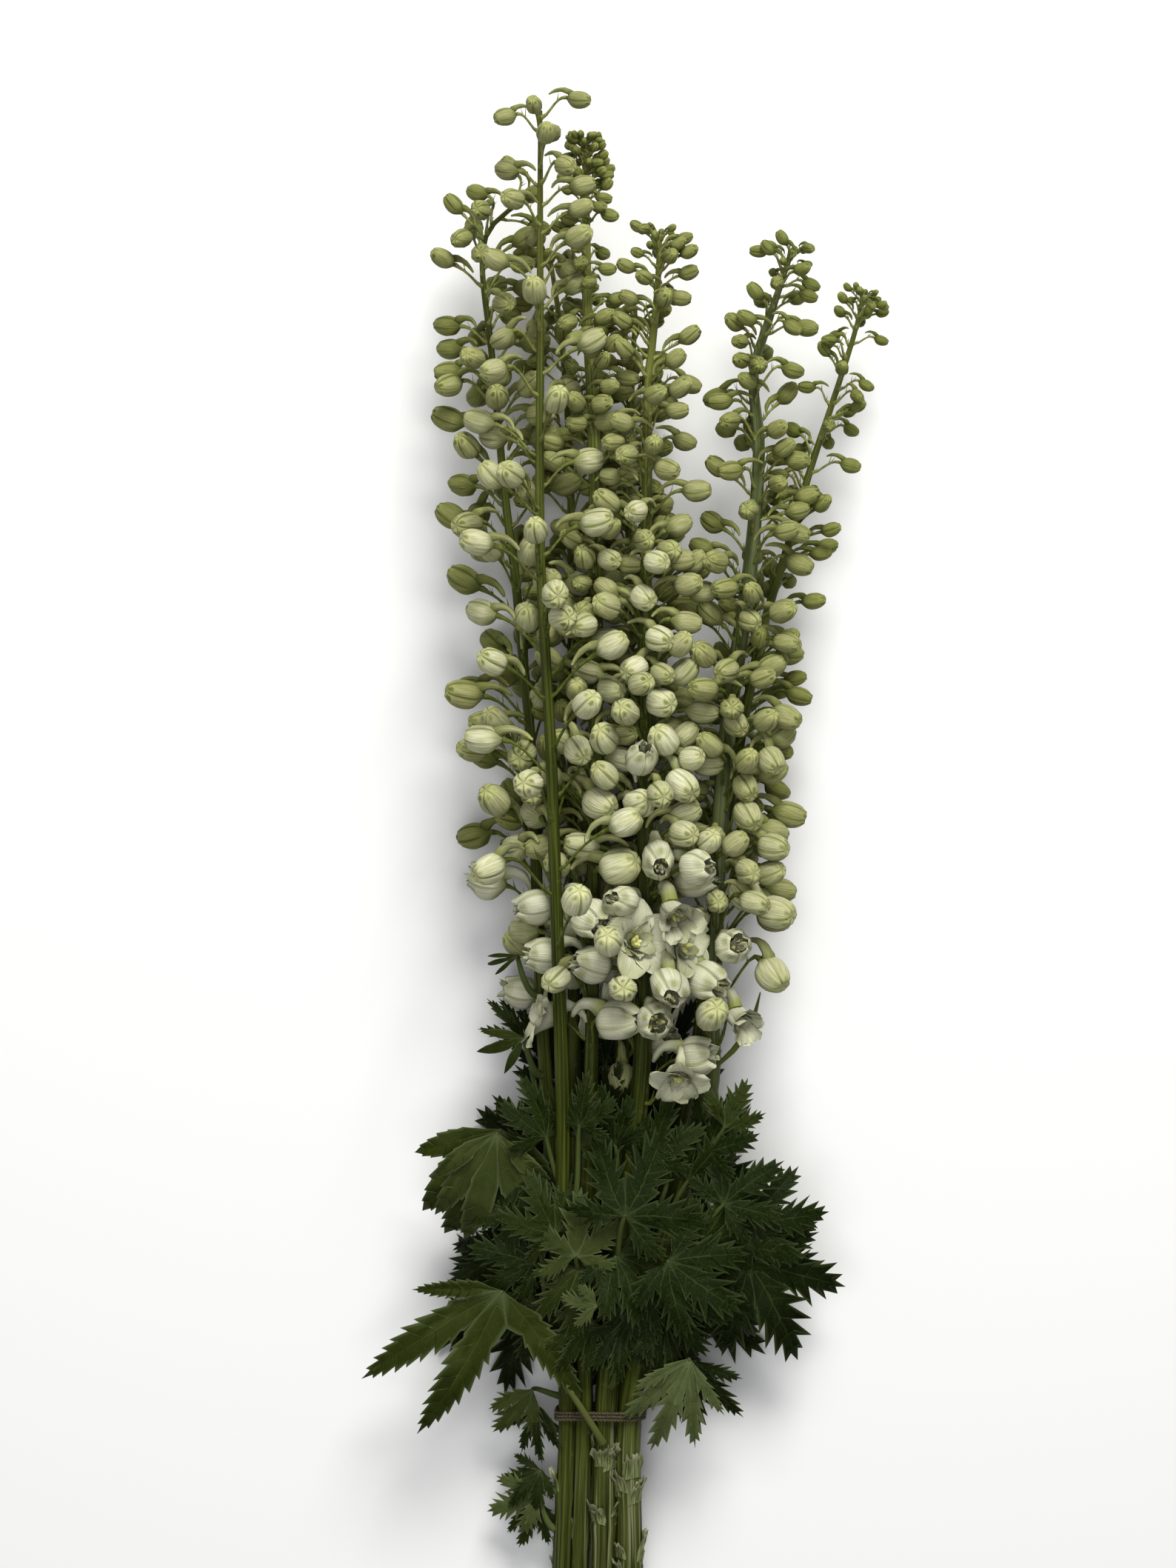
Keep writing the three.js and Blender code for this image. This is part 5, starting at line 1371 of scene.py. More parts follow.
def add_cup(skin, floret, roll):
    """Five sepals still folded over one another as a round cup, with rolled rims round its mouth."""
    openness, width = floret["openness"], floret["width"]
    length = CUP_LENGTH * floret["length"]
    columns = np.array(SEPAL_COLUMNS)
    turns, off, from_rib = shell_columns(columns)
    mouth = mix(*MOUTH, openness)
    outside = np.linspace(CUP_FOOT[0], mouth, CUP_OUTSIDE_ROWS)
    inside = np.linspace(mouth - 0.04, CUP_FOOT[1], CUP_INSIDE_ROWS)
    phi = np.concatenate((outside, inside))[:, None]
    within = np.concatenate((np.zeros(CUP_OUTSIDE_ROWS), np.ones(CUP_INSIDE_ROWS)))[:, None]
    rim = (1 - np.cos(mouth)) / 2
    t = (1 - np.cos(phi)) / 2
    near_rim = rise(t, rim - 0.3, rim)
    seam = bell(off, CUP_SEAM)
    groove = seam * (CUP_GROOVE[0] + CUP_GROOVE[1] * near_rim)
    pit = bell(t - rim + CUP_PIT[0], CUP_PIT[1]) * bell(from_rib, CUP_PIT[2])
    lap = CUP_LAP * bell(off, LAP[1]) * np.sign(off + 1e-9) * rise(t, *LAP_FROM)
    swell = 1 + CUP_SWELL * roll(0.2, 1.0) * np.cos(2 * turns[None, :] + roll(0, 6))
    ragged = sum(height * np.sin(count * turns[None, :] + roll(0, 6)) for height, count in CUP_RIPPLES)
    ragged = ragged + SEPAL_UNEVEN[0] * each_sepal(columns, -1, 1, roll)
    wider = SEPAL_UNEVEN[1] * each_sepal(columns, -1, 1, roll)
    girth = mix(*CUP_GIRTH, openness) * width * np.sin(phi) ** mix(BASE_ROUNDNESS[1], 0.75, t)
    girth = girth * (1 - groove + lap - CUP_PIT[3] * pit + ragged * near_rim) * swell * slim_foot(t)
    girth = girth * (1 + (0.06 * openness + wider) * near_rim) * (1 - 0.2 * within)
    ahead = t + near_rim * (0.07 * bell(from_rib, 0.35) - 0.05 * seam + ragged) + 0.03 * within
    angle = turns[None, :] + SEPAL_TURN / 2 + CUP_TWIST * (t - 0.5) * roll(-1, 1)
    middle = floret["neck"] + floret["direction"] * (length * ahead)[..., None]
    skin.tube(
        middle + girth[..., None] * spokes(floret, angle), PETAL_FINISH,
        ripeness=1.0, around=(turns * 2.0)[None, :], chance=floret["chance"],
        along=mix(mix(0.12, 1.0, t), 0.9 * t, within), seam=seam * (1 - within),
        spot=np.clip(pit * 1.6, 0, 1) * roll(0.5, 1.0) * (1 - 0.7 * within),
    )


def add_floret(skin, floret, roll):
    """A whole floret: its sepals spread wide or as a cup, inner petals, throat, spur and stalk."""
    neck, direction, length = floret["neck"], floret["direction"], floret["length"]
    crown = floret["crown"]
    across = np.cross(direction, crown)
    place = (neck, direction, crown, across)
    is_wide = floret["openness"] >= HALF_OPEN
    spread = (floret["openness"] - HALF_OPEN) / (1 - HALF_OPEN)
    bends = mix(np.array(HALF_BENDS), np.array(WIDE_BENDS), spread)
    floret["ripeness"] = 0.9
    floret["chance"] = roll()
    if not is_wide:
        add_cup(skin, floret, roll)
    for i in range(SEPALS if is_wide else 0):
        size = (SEPAL_SIZE[0] * length * roll(0.92, 1.08), SEPAL_SIZE[1] * length * roll(0.9, 1.1))
        own = np.array([bend + roll(-9, 9) for bend in bends])
        turn = i * SEPAL_TURN + roll(-0.1, 0.1)
        add_petal(
            skin, place, turn, size, own, roll(0.06, 0.13), roll,
            ripeness=1.0, chance=roll(), spot=roll(0, 0.5), seam=0.0,
        )
    inner = mix(np.array(INNER_BENDS), bends, 0.5 if is_wide else 0.05)
    for i in range(INNER_PETALS if is_wide else INNER_PETALS - 2):
        reach = roll(0.8, 1.25) if is_wide else roll(1.5, 1.9)
        size = (INNER_SIZE[0] * length * reach, INNER_SIZE[1] * length * roll(0.8, 1.2))
        own = inner + np.array([roll(-14, 14) for _ in inner])
        turn = i * 2 * math.pi / INNER_PETALS + roll(-0.25, 0.25)
        add_petal(
            skin, place, turn, size, own, roll(0.04, 0.1), roll, True,
            ripeness=0.9, chance=roll(), spot=roll(0.2, 0.9), seam=0.0,
        )
    for i in range(THROAT_BITS):
        turn = i * GOLDEN_TURN
        lean = unit(direction + (crown * math.cos(turn) + across * math.sin(turn)) * roll(0.1, 0.4))
        reach = length * (roll(0.4, 0.62) if is_wide else roll(0.7, 0.95))
        foot = neck + direction * 0.1 * length
        points = (foot, foot + direction * reach * 0.4, foot + lean * reach * 0.8, foot + lean * reach)
        add_bent_tube(skin, points, THROAT_RADII, 5, crown, THROAT_FINISH, spot=1.0)
    add_spur(skin, floret, roll)
    add_stalk(skin, {**floret, "root": floret["seat"], "width": 0.6 * floret["width"]}, roll)


PETAL_WHITE = (0.59, 0.585, 0.45)
PETAL_SHADE = 0.93
PETAL_LINE = (0.76, 0.78, 0.62)
PETAL_FOOT = (0.17, 0.19, 0.038)
PETAL_SURFACE = (0.55, 0.1)
PETAL_FIBRES = (9.0, 1.4)
PETAL_RELIEF = (0.0003, 0.7)
THROAT_GREEN = ((0.3, (0.28, 0.29, 0.06)), (0.7, (0.58, 0.56, 0.24)))
THROAT_SURFACE = (0.6, 0.3)
THROAT_PATCHES = (400.0, 2.0)


def petal_material():
    material, tree, shader = new_material("white_petal", *PETAL_SURFACE)
    along, spot = value_of(tree, "along"), value_of(tree, "spot")
    lines = fibres(tree, *PETAL_FIBRES)
    shaded = [PETAL_SHADE * c for c in PETAL_WHITE]
    body = ramp(tree, value_of(tree, "chance"), (0.0, PETAL_WHITE), (1.0, shaded))
    body = blend(tree, between(tree, lines, 0.1, 1.0, 0.8, 0.0), body, PETAL_LINE, "MULTIPLY")
    foot = between(tree, along, 0.02, 0.45, 0.95, 0.0)
    tip = calc(tree, "MULTIPLY", spot, between(tree, along, 0.5, 0.85, 0.0, 0.85))
    edge = between(tree, value_of(tree, "seam"), 0.2, 0.9, 0.0, 0.5)
    body = blend(tree, calc(tree, "MAXIMUM", calc(tree, "MAXIMUM", foot, tip), edge), body, PETAL_FOOT)
    link(tree, body, shader.inputs["Base Color"])
    add_bump(tree, lines, PETAL_RELIEF[0], shader, PETAL_RELIEF[1])
    return material


def throat_material():
    material, tree, shader = new_material("yellow_green_throat", *THROAT_SURFACE)
    tone = ramp(tree, clouds(tree, *THROAT_PATCHES), *THROAT_GREEN)
    link(tree, tone, shader.inputs["Base Color"])
    return material


PETAL = petal_material()
THROAT_BIT = throat_material()
WIDE_FLORETS = ("floret_4_2", "floret_4_6", "floret_3_1", "floret_8_3")
HALF_OPENNESS = 0.75  # of the others, at most
FLORET_SEED = 800
FRONT_SEED = 900
for number, spike in enumerate(SPIKES):
    roll = Dice(FLORET_SEED + number)
    for count, floret in enumerate(grown[spike["name"]][1], 1):
        name = f"floret_{spike['name'][-1]}_{count}"
        floret["share"] = 1.0
        floret["openness"] = 1.0 if name in WIDE_FLORETS else HALF_OPENNESS * floret["openness"]
        skin = Skin()
        add_floret(skin, floret, roll)
        piece = skin.build("open_" + name, [STALK, PETAL, THROAT_BIT], SHIFT)
        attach(piece, "root")
        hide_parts(name)

# A stalk that has lost its head curves out from the lowest florets.
BARE_STALK = ((0.071, 0.216, 0.072), (0.088, 0.228, 0.082), (0.098, 0.242, 0.084), (0.1025, 0.265, 0.082))
BARE_STALK_RADII = (0.001, 0.0014, 0.0018, 0.0019, 0.0017, 0.0012, 0.0004)
skin = Skin()
roll = Dice(FRONT_SEED)
for floret in in_front:
    if floret["openness"]:
        add_floret(skin, floret, roll)
add_bent_tube(skin, BARE_STALK, BARE_STALK_RADII, 8, UP, STALK_FINISH, spot=1.0)
piece = skin.build("open_florets_in_front", [STALK, PETAL, THROAT_BIT], SHIFT)
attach(piece, "root")


# ---- Leaves ----
# Dark green leaves, each a palmate blade of three or five toothed lobes on its own stalk, which
# clasps the stem. Their veins are sunk in and paler, and their undersides grey-green.

# Each leaf: its name, the spike that carries it, the height of its root, the joint of its lobes, its
# heading, pitch and roll in degrees, its length, how widely its lobes spread, how many degrees it
# droops, and how many lobes it has.
LEAF_FIELDS = ("name", "on", "root", "joint", "heading", "pitch", "roll", "size", "spread", "droop", "lobes")
LEAVES = (
    ("leaf_left_drooping", "spike_2", 0.118, (-0.056, 0.181, 0.076), 254, -8, 8, 0.092, 0.5, 45, 5),
    ("leaf_left_large", "spike_4", -0.016, (-0.055, 0.083, 0.082), 246, -2, 8, 0.11, 1, 25, 4),
    ("leaf_centre", "spike_4", 0.094, (0.02, 0.13, 0.094), 60, 6, 0, 0.062, 0.95, 25, 5),
    ("leaf_centre_olive", "spike_3", 0.088, (-0.01, 0.104, 0.084), 90, 2, 0, 0.043, 0.9, 15, 5),
    ("leaf_centre_curled", "spike_3", 0.066, (0.003, 0.074, 0.085), 172, 4, 0, 0.024, 0.9, 12, 3),
    ("leaf_centre_low", "spike_4", 0.034, (0.031, 0.084, 0.07), 252, -2, 0, 0.062, 0.33, 12, 5),
    ("leaf_right_grey", "spike_5", 0.01, (0.06, 0.039, 0.067), 250, -2, 0, 0.068, 0.36, 25, 5),
    ("leaf_right_tip", "spike_5", 0.086, (0.098, 0.126, 0.076), 358, 0, 0, 0.05, 0.8, 30, 5),
    ("leaf_right_outer", "spike_5", 0.045, (0.096, 0.098, 0.066), 302, -4, 0, 0.078, 0.7, 35, 5),
    ("leaf_right_inner", "spike_5", 0.084, (0.046, 0.102, 0.088), 322, 0, 0, 0.06, 0.75, 25, 5),
    ("leaf_right_dark", "spike_5", 0.028, (0.08, 0.074, 0.046), 236, 0, 0, 0.04, 0.9, 20, 3),
    ("leaf_right_small", "spike_4", 0.105, (0.046, 0.152, 0.086), 86, 8, 0, 0.024, 0.7, 10, 3),
    ("leaf_right_upper", "spike_5", 0.166, (0.08, 0.183, 0.092), 62, 10, 0, 0.034, 0.9, 15, 3),
    ("leaf_right_high", "spike_5", 0.098, (0.08, 0.136, 0.086), 42, 2, 0, 0.046, 0.85, 18, 5),
    ("leaf_centre_upright", "spike_3", 0.1, (0.004, 0.152, 0.078), 86, 8, 0, 0.056, 0.45, 4, 3),
    ("leaf_left_narrow_high", "spike_2", 0.262, (-0.046, 0.286, 0.062), 196, 10, 0, 0.032, 0.4, 110, 3),
    ("leaf_left_narrow_low", "spike_2", 0.212, (-0.042, 0.236, 0.062), 205, 0, 0, 0.036, 0.7, 50, 3),
    ("leaf_left_side", "spike_2", 0.084, (-0.052, 0.118, 0.034), 172, 0, 0, 0.044, 0.8, 30, 3),
    ("leaf_tie_left", "spike_2", 0.01, (-0.037, 0.016, 0.044), 238, -4, 0, 0.04, 0.7, 25, 3),
    ("leaf_butt_left", "spike_1", -0.074, (-0.033, -0.052, 0.034), 200, 0, 0, 0.038, 0.9, 35, 3),
    ("leaf_under_left", "spike_2", 0.026, (-0.038, 0.066, 0.012), 196, 0, 0, 0.072, 0.8, 12, 5),
    ("leaf_under_left_high", "spike_7", 0.088, (-0.024, 0.15, 0.01), 148, 0, 0, 0.062, 0.8, 10, 5),
    ("leaf_under_low", "spike_8", 0.014, (0.01, 0.05, 0.008), 272, 0, 0, 0.056, 0.7, 6, 5),
    ("leaf_under_middle", "spike_8", 0.076, (0.008, 0.122, 0.008), 84, 0, 0, 0.06, 0.6, 6, 3),
    ("leaf_under_right", "spike_6", 0.022, (0.05, 0.08, 0.012), 322, 0, 0, 0.078, 0.8, 12, 5),
    ("leaf_under_right_high", "spike_6", 0.092, (0.056, 0.15, 0.012), 36, 0, 0, 0.06, 0.8, 10, 5),
)
LOBES = {
    5: ((-122, 0.62), (-62, 0.88), (0, 1), (62, 0.88), (122, 0.62)),  # turn in degrees, share of the length
    4: ((-72, 0.5), (-37, 0.96), (0, 1), (62, 0.84)),
    3: ((-52, 0.8), (0, 1), (52, 0.8)),
}
LOBE_HALF_TURN = 22.5  # degrees; lobes closer together than that are gathered in
LOBE_BEND = 0.16
WAVE = 0.045  # height of the blade's waves at its edge, over its length
WAVES = 5  # radians of wave in each radian round the joint
SINUS = 0.22  # how deep the cuts between lobes go, as a share of the length that stays whole
OUTER_FOOT = (0.14, 0.035)  # where the outermost lobes' outer edges start: ahead, aside
# Half the cut edge of a lobe, over its length: how far out, how far to the side. Teeth and the
# notches between them take turns.
TEETH = (
    (0.38, 0.185), (0.37, 0.13), (0.55, 0.265), (0.475, 0.125), (0.71, 0.265), (0.595, 0.105), (0.84, 0.19),
    (0.71, 0.078), (0.93, 0.105), (0.83, 0.045), (1.0, 0.0),
)
ROUND_TEETH = (
    (0.4, 0.2), (0.45, 0.2), (0.56, 0.228), (0.575, 0.208), (0.7, 0.215), (0.69, 0.18), (0.83, 0.16),
    (0.81, 0.128), (0.93, 0.095), (0.91, 0.068), (1.0, 0.0),
)
FINE_TEETH = (
    (0.3, 0.125), (0.33, 0.108), (0.42, 0.152), (0.41, 0.118), (0.53, 0.157), (0.51, 0.112), (0.63, 0.147),
    (0.6, 0.1), (0.72, 0.127), (0.685, 0.085), (0.8, 0.105), (0.76, 0.065), (0.875, 0.078), (0.835, 0.045),
    (0.94, 0.048), (0.905, 0.026), (1.0, 0.0),
)
NO_TEETH = (
    (0.25, 0.085), (0.35, 0.115), (0.48, 0.13), (0.6, 0.122), (0.72, 0.098), (0.83, 0.066), (0.93, 0.03),
    (1.0, 0.0),
)
UNEVEN = (0.02, 0.006)  # how far teeth are off their places: coarse ones, others
CUTS = {
    "leaf_left_drooping": ROUND_TEETH, "hanging_round": ROUND_TEETH, "leaf_left_large": FINE_TEETH,
    "leaf_left_narrow_high": NO_TEETH, "leaf_left_narrow_low": NO_TEETH,
}
LOBE_STAGGER = 0.0012  # neighbouring lobes lie over and under one another
VEIN_LEAN = 0.75  # how far back on the midrib a tooth's own vein starts, over how far out it ends
BLADE_FINISH, PETIOLE_FINISH = 0, 1
BLADE_COLUMNS = (0.0, 0.12, 0.42, 0.75, 1.0)
BLADE_THICKNESS = 0.0005
MIDRIB_SINK = 0.010  # over the leaf's length
MIDRIB_WIDTH = 0.16
CORRUGATION = 0.011
PETIOLE_RADIUS = 0.0021
PETIOLE_RADII = (1.35, 1.12, 1.0, 0.95, 0.9, 0.86, 0.82, 0.78, 0.74, 0.7, 0.62, 0.5)  # over that
PETIOLE_SIDES = 10
PETIOLE_ENDS = (0.0008, 0.0006)  # how far it runs into the stem's side and into the blade
MOST_BOW = (0.010, 0.012)
PETIOLE_BOW = 0.3
PETIOLE_RISE = 0.08
PALE_PETIOLE = "leaf_left_large"
ROOT_TURNS = {"leaf_left_large": 104}  # degrees round the stem; the others' face their joints
SEAT_GAP = 0.0003
TONES = {  # 0 is the darkest green, 0.5 olive, 1 grey-green
    "leaf_right_grey": 1.0, "leaf_centre_olive": 0.62, "leaf_right_small": 0.55, "leaf_centre_curled": 0.8,
    "leaf_left_large": 0.5, "leaf_left_drooping": 0.5, "leaf_right_upper": 0.4, "leaf_left_narrow_high": 0.5,
    "leaf_left_narrow_low": 0.45, "leaf_butt_left": 0.85, "leaf_tie_left": 0.6, "leaf_centre_upright": 0.3,
    "hanging_round": 0.62,
}


def leaf_frame(leaf):
    """The directions ahead along a leaf's middle lobe, out of its upper face and to its left."""
    turn, lift, tip = (math.radians(leaf[key]) for key in ("heading", "pitch", "roll"))
    forward = np.array((math.cos(turn) * math.cos(lift), math.sin(turn) * math.cos(lift), math.sin(lift)))
    flat = np.array((-math.cos(turn) * math.sin(lift), -math.sin(turn) * math.sin(lift), math.cos(lift)))
    left = np.cross(flat, forward)
    face = flat * math.cos(tip) + left * math.sin(tip)
    return forward, face, np.cross(face, forward)


def blade_points(leaf, frame, u, v, lift):
    """Points u ahead of the joint and v to its left, bent down round the joint and waved."""
    forward, face, left = frame
    size = leaf["size"]
    reach = np.maximum(np.hypot(u, v), 1e-9)
    curl = math.radians(leaf["droop"]) / size
    spoke = (forward * u[..., None] + left * v[..., None]) / reach[..., None]
    sunk = (1 - np.cos(curl * reach)) / curl
    wave = WAVE * size * np.sin(WAVES * np.arctan2(v, u) + size * 1000) * (reach / size) ** 2
    joint = np.array(leaf["joint"])
    return joint + spoke * (np.sin(curl * reach) / curl)[..., None] + face * (wave + lift - sunk)[..., None]


def add_lobe(skin, leaf, frame, turn, length, gathered, sinuses, stagger, roll):
    """One lobe: rows of points from its midrib out to each tooth and each notch, both ways."""
    size = leaf["size"]
    bend = roll(-LOBE_BEND, LOBE_BEND)
    teeth = CUTS.get(leaf["name"], TEETH)
    uneven = UNEVEN[0] if teeth is TEETH else UNEVEN[1]
    sides = []
    for hand, sinus in ((-1, sinuses[0]), (1, sinuses[1])):
        edge = [(0.0, 0.0), sinus]
        for i, (share, width) in enumerate(teeth):
            last = i == len(teeth) - 1
            jag = 0 if last else roll(-1, 1) * uneven
            stretch = 1 if last else 1 + roll(-10, 10) * uneven
            edge.append(((share + jag) * length, width * stretch * length * gathered))
        edge = np.array(edge)
        ribs = edge[:, 0] - VEIN_LEAN * edge[:, 1]
        ribs[:2] = (0.0, 0.45 * edge[1, 0])
        ribs = np.maximum.accumulate(np.clip(ribs, 0, length))
        ribs[-1] = length
        across = np.array(BLADE_COLUMNS)[None, :]
        x = mix(ribs[:, None], edge[:, :1], across)
        y = edge[:, 1:] * across * hand
        sides.append((x[:, ::-1], y[:, ::-1]) if hand < 0 else (x[:, 1:], y[:, 1:]))
        if hand < 0:
            middle_ribs = ribs
        else:
            shared = (ribs + middle_ribs) / 2
            sides[0][0][:, -1] = shared
    x = np.hstack((sides[0][0], sides[1][0]))
    y = np.hstack((sides[0][1], sides[1][1]))
    columns = np.concatenate((-np.array(BLADE_COLUMNS)[::-1], np.array(BLADE_COLUMNS)[1:]))[None, :]
    rows = np.arange(len(x))[:, None]
    free = rise(np.hypot(x, y) / length, 0.2, 0.45)
    y = y + bend * length * (x / length) ** 2 * free
    u = x * math.cos(turn) - y * math.sin(turn)
    v = x * math.sin(turn) + y * math.cos(turn)
    groove = bell(columns, MIDRIB_WIDTH) * (1 - x / length)
    ridge = np.where(rows % 2 == 0, -1.0, 1.0) * np.abs(columns) * (1 - np.abs(columns)) * 4
    lift = size * (CORRUGATION * ridge * free - MIDRIB_SINK * groove * rise(x / length, 0.05, 0.3))
    lift += size * 0.05 * (np.abs(y) / length) * free * roll(0.2, 1.2) + stagger * free
    grid = blade_points(leaf, frame, u, v, lift)
    closed = np.minimum((1 - np.abs(columns)) * 8, 1) * np.minimum(len(x) - 1 - rows, 1)
    half = BLADE_THICKNESS / 2 * np.where(closed > TINY, closed, 0) * np.minimum(rows, 1)
    tone = leaf.get("tone", TONES.get(leaf["name"], 0.0))
    skin.lens(
        grid, half, BLADE_FINISH, under=1.0,
        along=rows / 2, around=columns, seam=x / length, chance=tone,
    )


def add_petiole(skin, leaf, frame):
    """A leaf's own stalk, from the side of its stem round to the joint of its lobes."""
    spike = next(s for s in SPIKES if s["name"] == leaf["on"])
    centre, forward, side, up = stem_frame(spike, leaf["root"])
    joint = np.array(leaf["joint"])
    away = joint - centre
    around = math.atan2(away @ up, away @ side)
    if leaf["name"] in ROOT_TURNS:
        around = math.radians(ROOT_TURNS[leaf["name"]])
    out = side * math.cos(around) + up * math.sin(around)
    start = centre + out * (stem_radius(spike, leaf["root"]) + SEAT_GAP)
    chord = joint - start
    length = np.linalg.norm(chord)
    ahead = max(chord @ frame[0] / length, 0)
    arrival = unit(frame[0] * ahead + frame[1] * (1 - ahead))
    leaving, arriving = (min(most, PETIOLE_BOW * length) for most in MOST_BOW)
    points = (
        start - out * PETIOLE_ENDS[0],
        start + out * leaving + forward * PETIOLE_RISE * length,
        joint - arrival * arriving,
        joint + frame[0] * PETIOLE_ENDS[1],
    )
    radii = np.array(PETIOLE_RADII) * PETIOLE_RADIUS
    crown = unit(np.cross(chord, np.cross(UP, chord) + TINY))
    pale = 1.0 if leaf["name"] == PALE_PETIOLE else 0.0
    add_bent_tube(skin, points, radii, PETIOLE_SIDES, crown, PETIOLE_FINISH, ripeness=pale)


def add_leaf(skin, leaf, roll):
    """A leaf's lobes, each over or under its neighbours, and its stalk."""
    frame = leaf_frame(leaf)
    spread, size = leaf["spread"], leaf["size"]
    lobes = [(math.radians(turn * spread), share * size) for turn, share in LOBES[leaf["lobes"]]]
    gathered = min(1, (lobes[1][0] - lobes[0][0]) / math.radians(2 * LOBE_HALF_TURN))
    for i, (turn, length) in enumerate(lobes):
        sinuses = []
        for hand, other in ((-1, i - 1), (1, i + 1)):
            if 0 <= other < len(lobes):
                half_way = abs(lobes[other][0] - turn) / 2
                reach = SINUS * size
                sinuses.append((reach * math.cos(half_way), reach * math.sin(half_way)))
            else:
                sinuses.append((OUTER_FOOT[0] * length, OUTER_FOOT[1] * length))
        add_lobe(skin, leaf, frame, turn, length, gathered, sinuses, (-1) ** i * LOBE_STAGGER, roll)
    add_petiole(skin, leaf, frame)


BLADE_TONES = ((0.0, (0.0085, 0.0155, 0.0018)), (0.5, (0.026, 0.036, 0.0045)), (1.0, (0.073, 0.091, 0.031)))
DEEP_LEAF_PAINTED_SHADE = (0.45, 0.45, 0.45)  # painted shade: dark leaves low in the bunch, between the heights below, are darkened by this much
PAINTED_SHADE_BELOW = (0.045, 0.082)
UNDERSIDE_TONES = ((0.0, (0.032, 0.046, 0.014)), (1.0, (0.095, 0.118, 0.050)))
VEIN_GREEN = (0.040, 0.056, 0.014)
TOOTH_TIP = (0.15, 0.17, 0.07)
PETIOLE_PALE = (0.090, 0.104, 0.026)
PETIOLE_GREEN = ((0.034, 0.050, 0.010), (0.078, 0.100, 0.026))
BLADE_SHADE = (0.5, 0.56, 0.5)
BLADE_SURFACE = (0.55, 0.05)
BLADE_PATCHES = (55.0, 3.0)
NET_PATCHES = (700.0, 1.0)
BLADE_RELIEF = (0.0004, 0.7)
PETIOLE_SURFACE = (0.5, 0.1)
PETIOLE_FIBRES = (22.0, 1.5)
PETIOLE_RELIEF = 0.0003


def blade_material():
    material, tree, shader = new_material("dark_green_blade", *BLADE_SURFACE)
    across = calc(tree, "ABSOLUTE", value_of(tree, "around"))
    out = value_of(tree, "seam")
    tone = value_of(tree, "chance")
    mottle = clouds(tree, *BLADE_PATCHES)
    top = ramp(tree, tone, *BLADE_TONES)
    top = blend(tree, between(tree, mottle, 0.35, 0.7, 0.55, 0.0), top, BLADE_SHADE, "MULTIPLY")
    side_vein = calc(tree, "PINGPONG", calc(tree, "MULTIPLY", value_of(tree, "along"), 2.0), 1.0)
    thin = calc(tree, "MULTIPLY", calc(tree, "SUBTRACT", 1.1, across), 0.16)
    veins = between(tree, side_vein, 0.0, thin, 0.4, 0.0)
    thick = calc(tree, "MULTIPLY", calc(tree, "SUBTRACT", 1.25, out), 0.07)
    midrib = between(tree, across, 0.02, thick, 0.6, 0.0)
    net = clouds(tree, *NET_PATCHES)
    veins = calc(tree, "MAXIMUM", veins, between(tree, net, 0.56, 0.66, 0.0, 0.22))
    veins = calc(tree, "MAXIMUM", veins, midrib)
    top = blend(tree, veins, top, VEIN_GREEN)
    at_vein = between(tree, side_vein, 0.0, 0.2, 0.9, 0.0)
    top = blend(tree, calc(tree, "MULTIPLY", between(tree, across, 0.93, 1.0), at_vein), top, TOOTH_TIP)
    # Painted shade: the dark leaves low in the bunch, near the floor, are darkened further, the lower the
    # more.
    height = tree.nodes.new("ShaderNodeSeparateXYZ")
    link(tree, place_of(tree), height.inputs["Vector"])
    low_down = between(tree, height.outputs["Z"], *PAINTED_SHADE_BELOW, 1.0, 0.0)
    painted_shade = calc(tree, "MULTIPLY", low_down, between(tree, tone, 0.1, 0.4, 0.75, 0.0))
    top = blend(tree, painted_shade, top, DEEP_LEAF_PAINTED_SHADE, "MULTIPLY")
    low = ramp(tree, tone, *UNDERSIDE_TONES)
    low = blend(tree, calc(tree, "MULTIPLY", veins, 0.7), low, PETIOLE_GREEN[1])
    link(tree, blend(tree, value_of(tree, "ripeness"), top, low), shader.inputs["Base Color"])
    relief = calc(tree, "SUBTRACT", calc(tree, "MULTIPLY", mottle, 0.6), veins)
    add_bump(tree, relief, BLADE_RELIEF[0], shader, BLADE_RELIEF[1])
    return material


def petiole_material():
    material, tree, shader = new_material("green_leaf_stalk", *PETIOLE_SURFACE)
    lines = fibres(tree, *PETIOLE_FIBRES)
    green = ramp(tree, lines, (0.0, PETIOLE_GREEN[0]), (1.0, PETIOLE_GREEN[1]))
    link(tree, blend(tree, value_of(tree, "ripeness"), green, PETIOLE_PALE), shader.inputs["Base Color"])
    add_bump(tree, lines, PETIOLE_RELIEF, shader)
    return material


BLADE = blade_material()
PETIOLE = petiole_material()
LEAF_SEED = 4000
FILLING_LEAF_SEED = 6000
HANGING_SEED = 7000
for number, row in enumerate(LEAVES):
    leaf = dict(zip(LEAF_FIELDS, row))
    skin = Skin()
    add_leaf(skin, leaf, Dice(LEAF_SEED + number))
    piece = skin.build("dressed_" + leaf["name"], [BLADE, PETIOLE], SHIFT, weld=True)
    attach(piece, "root")
    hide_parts(leaf["name"])

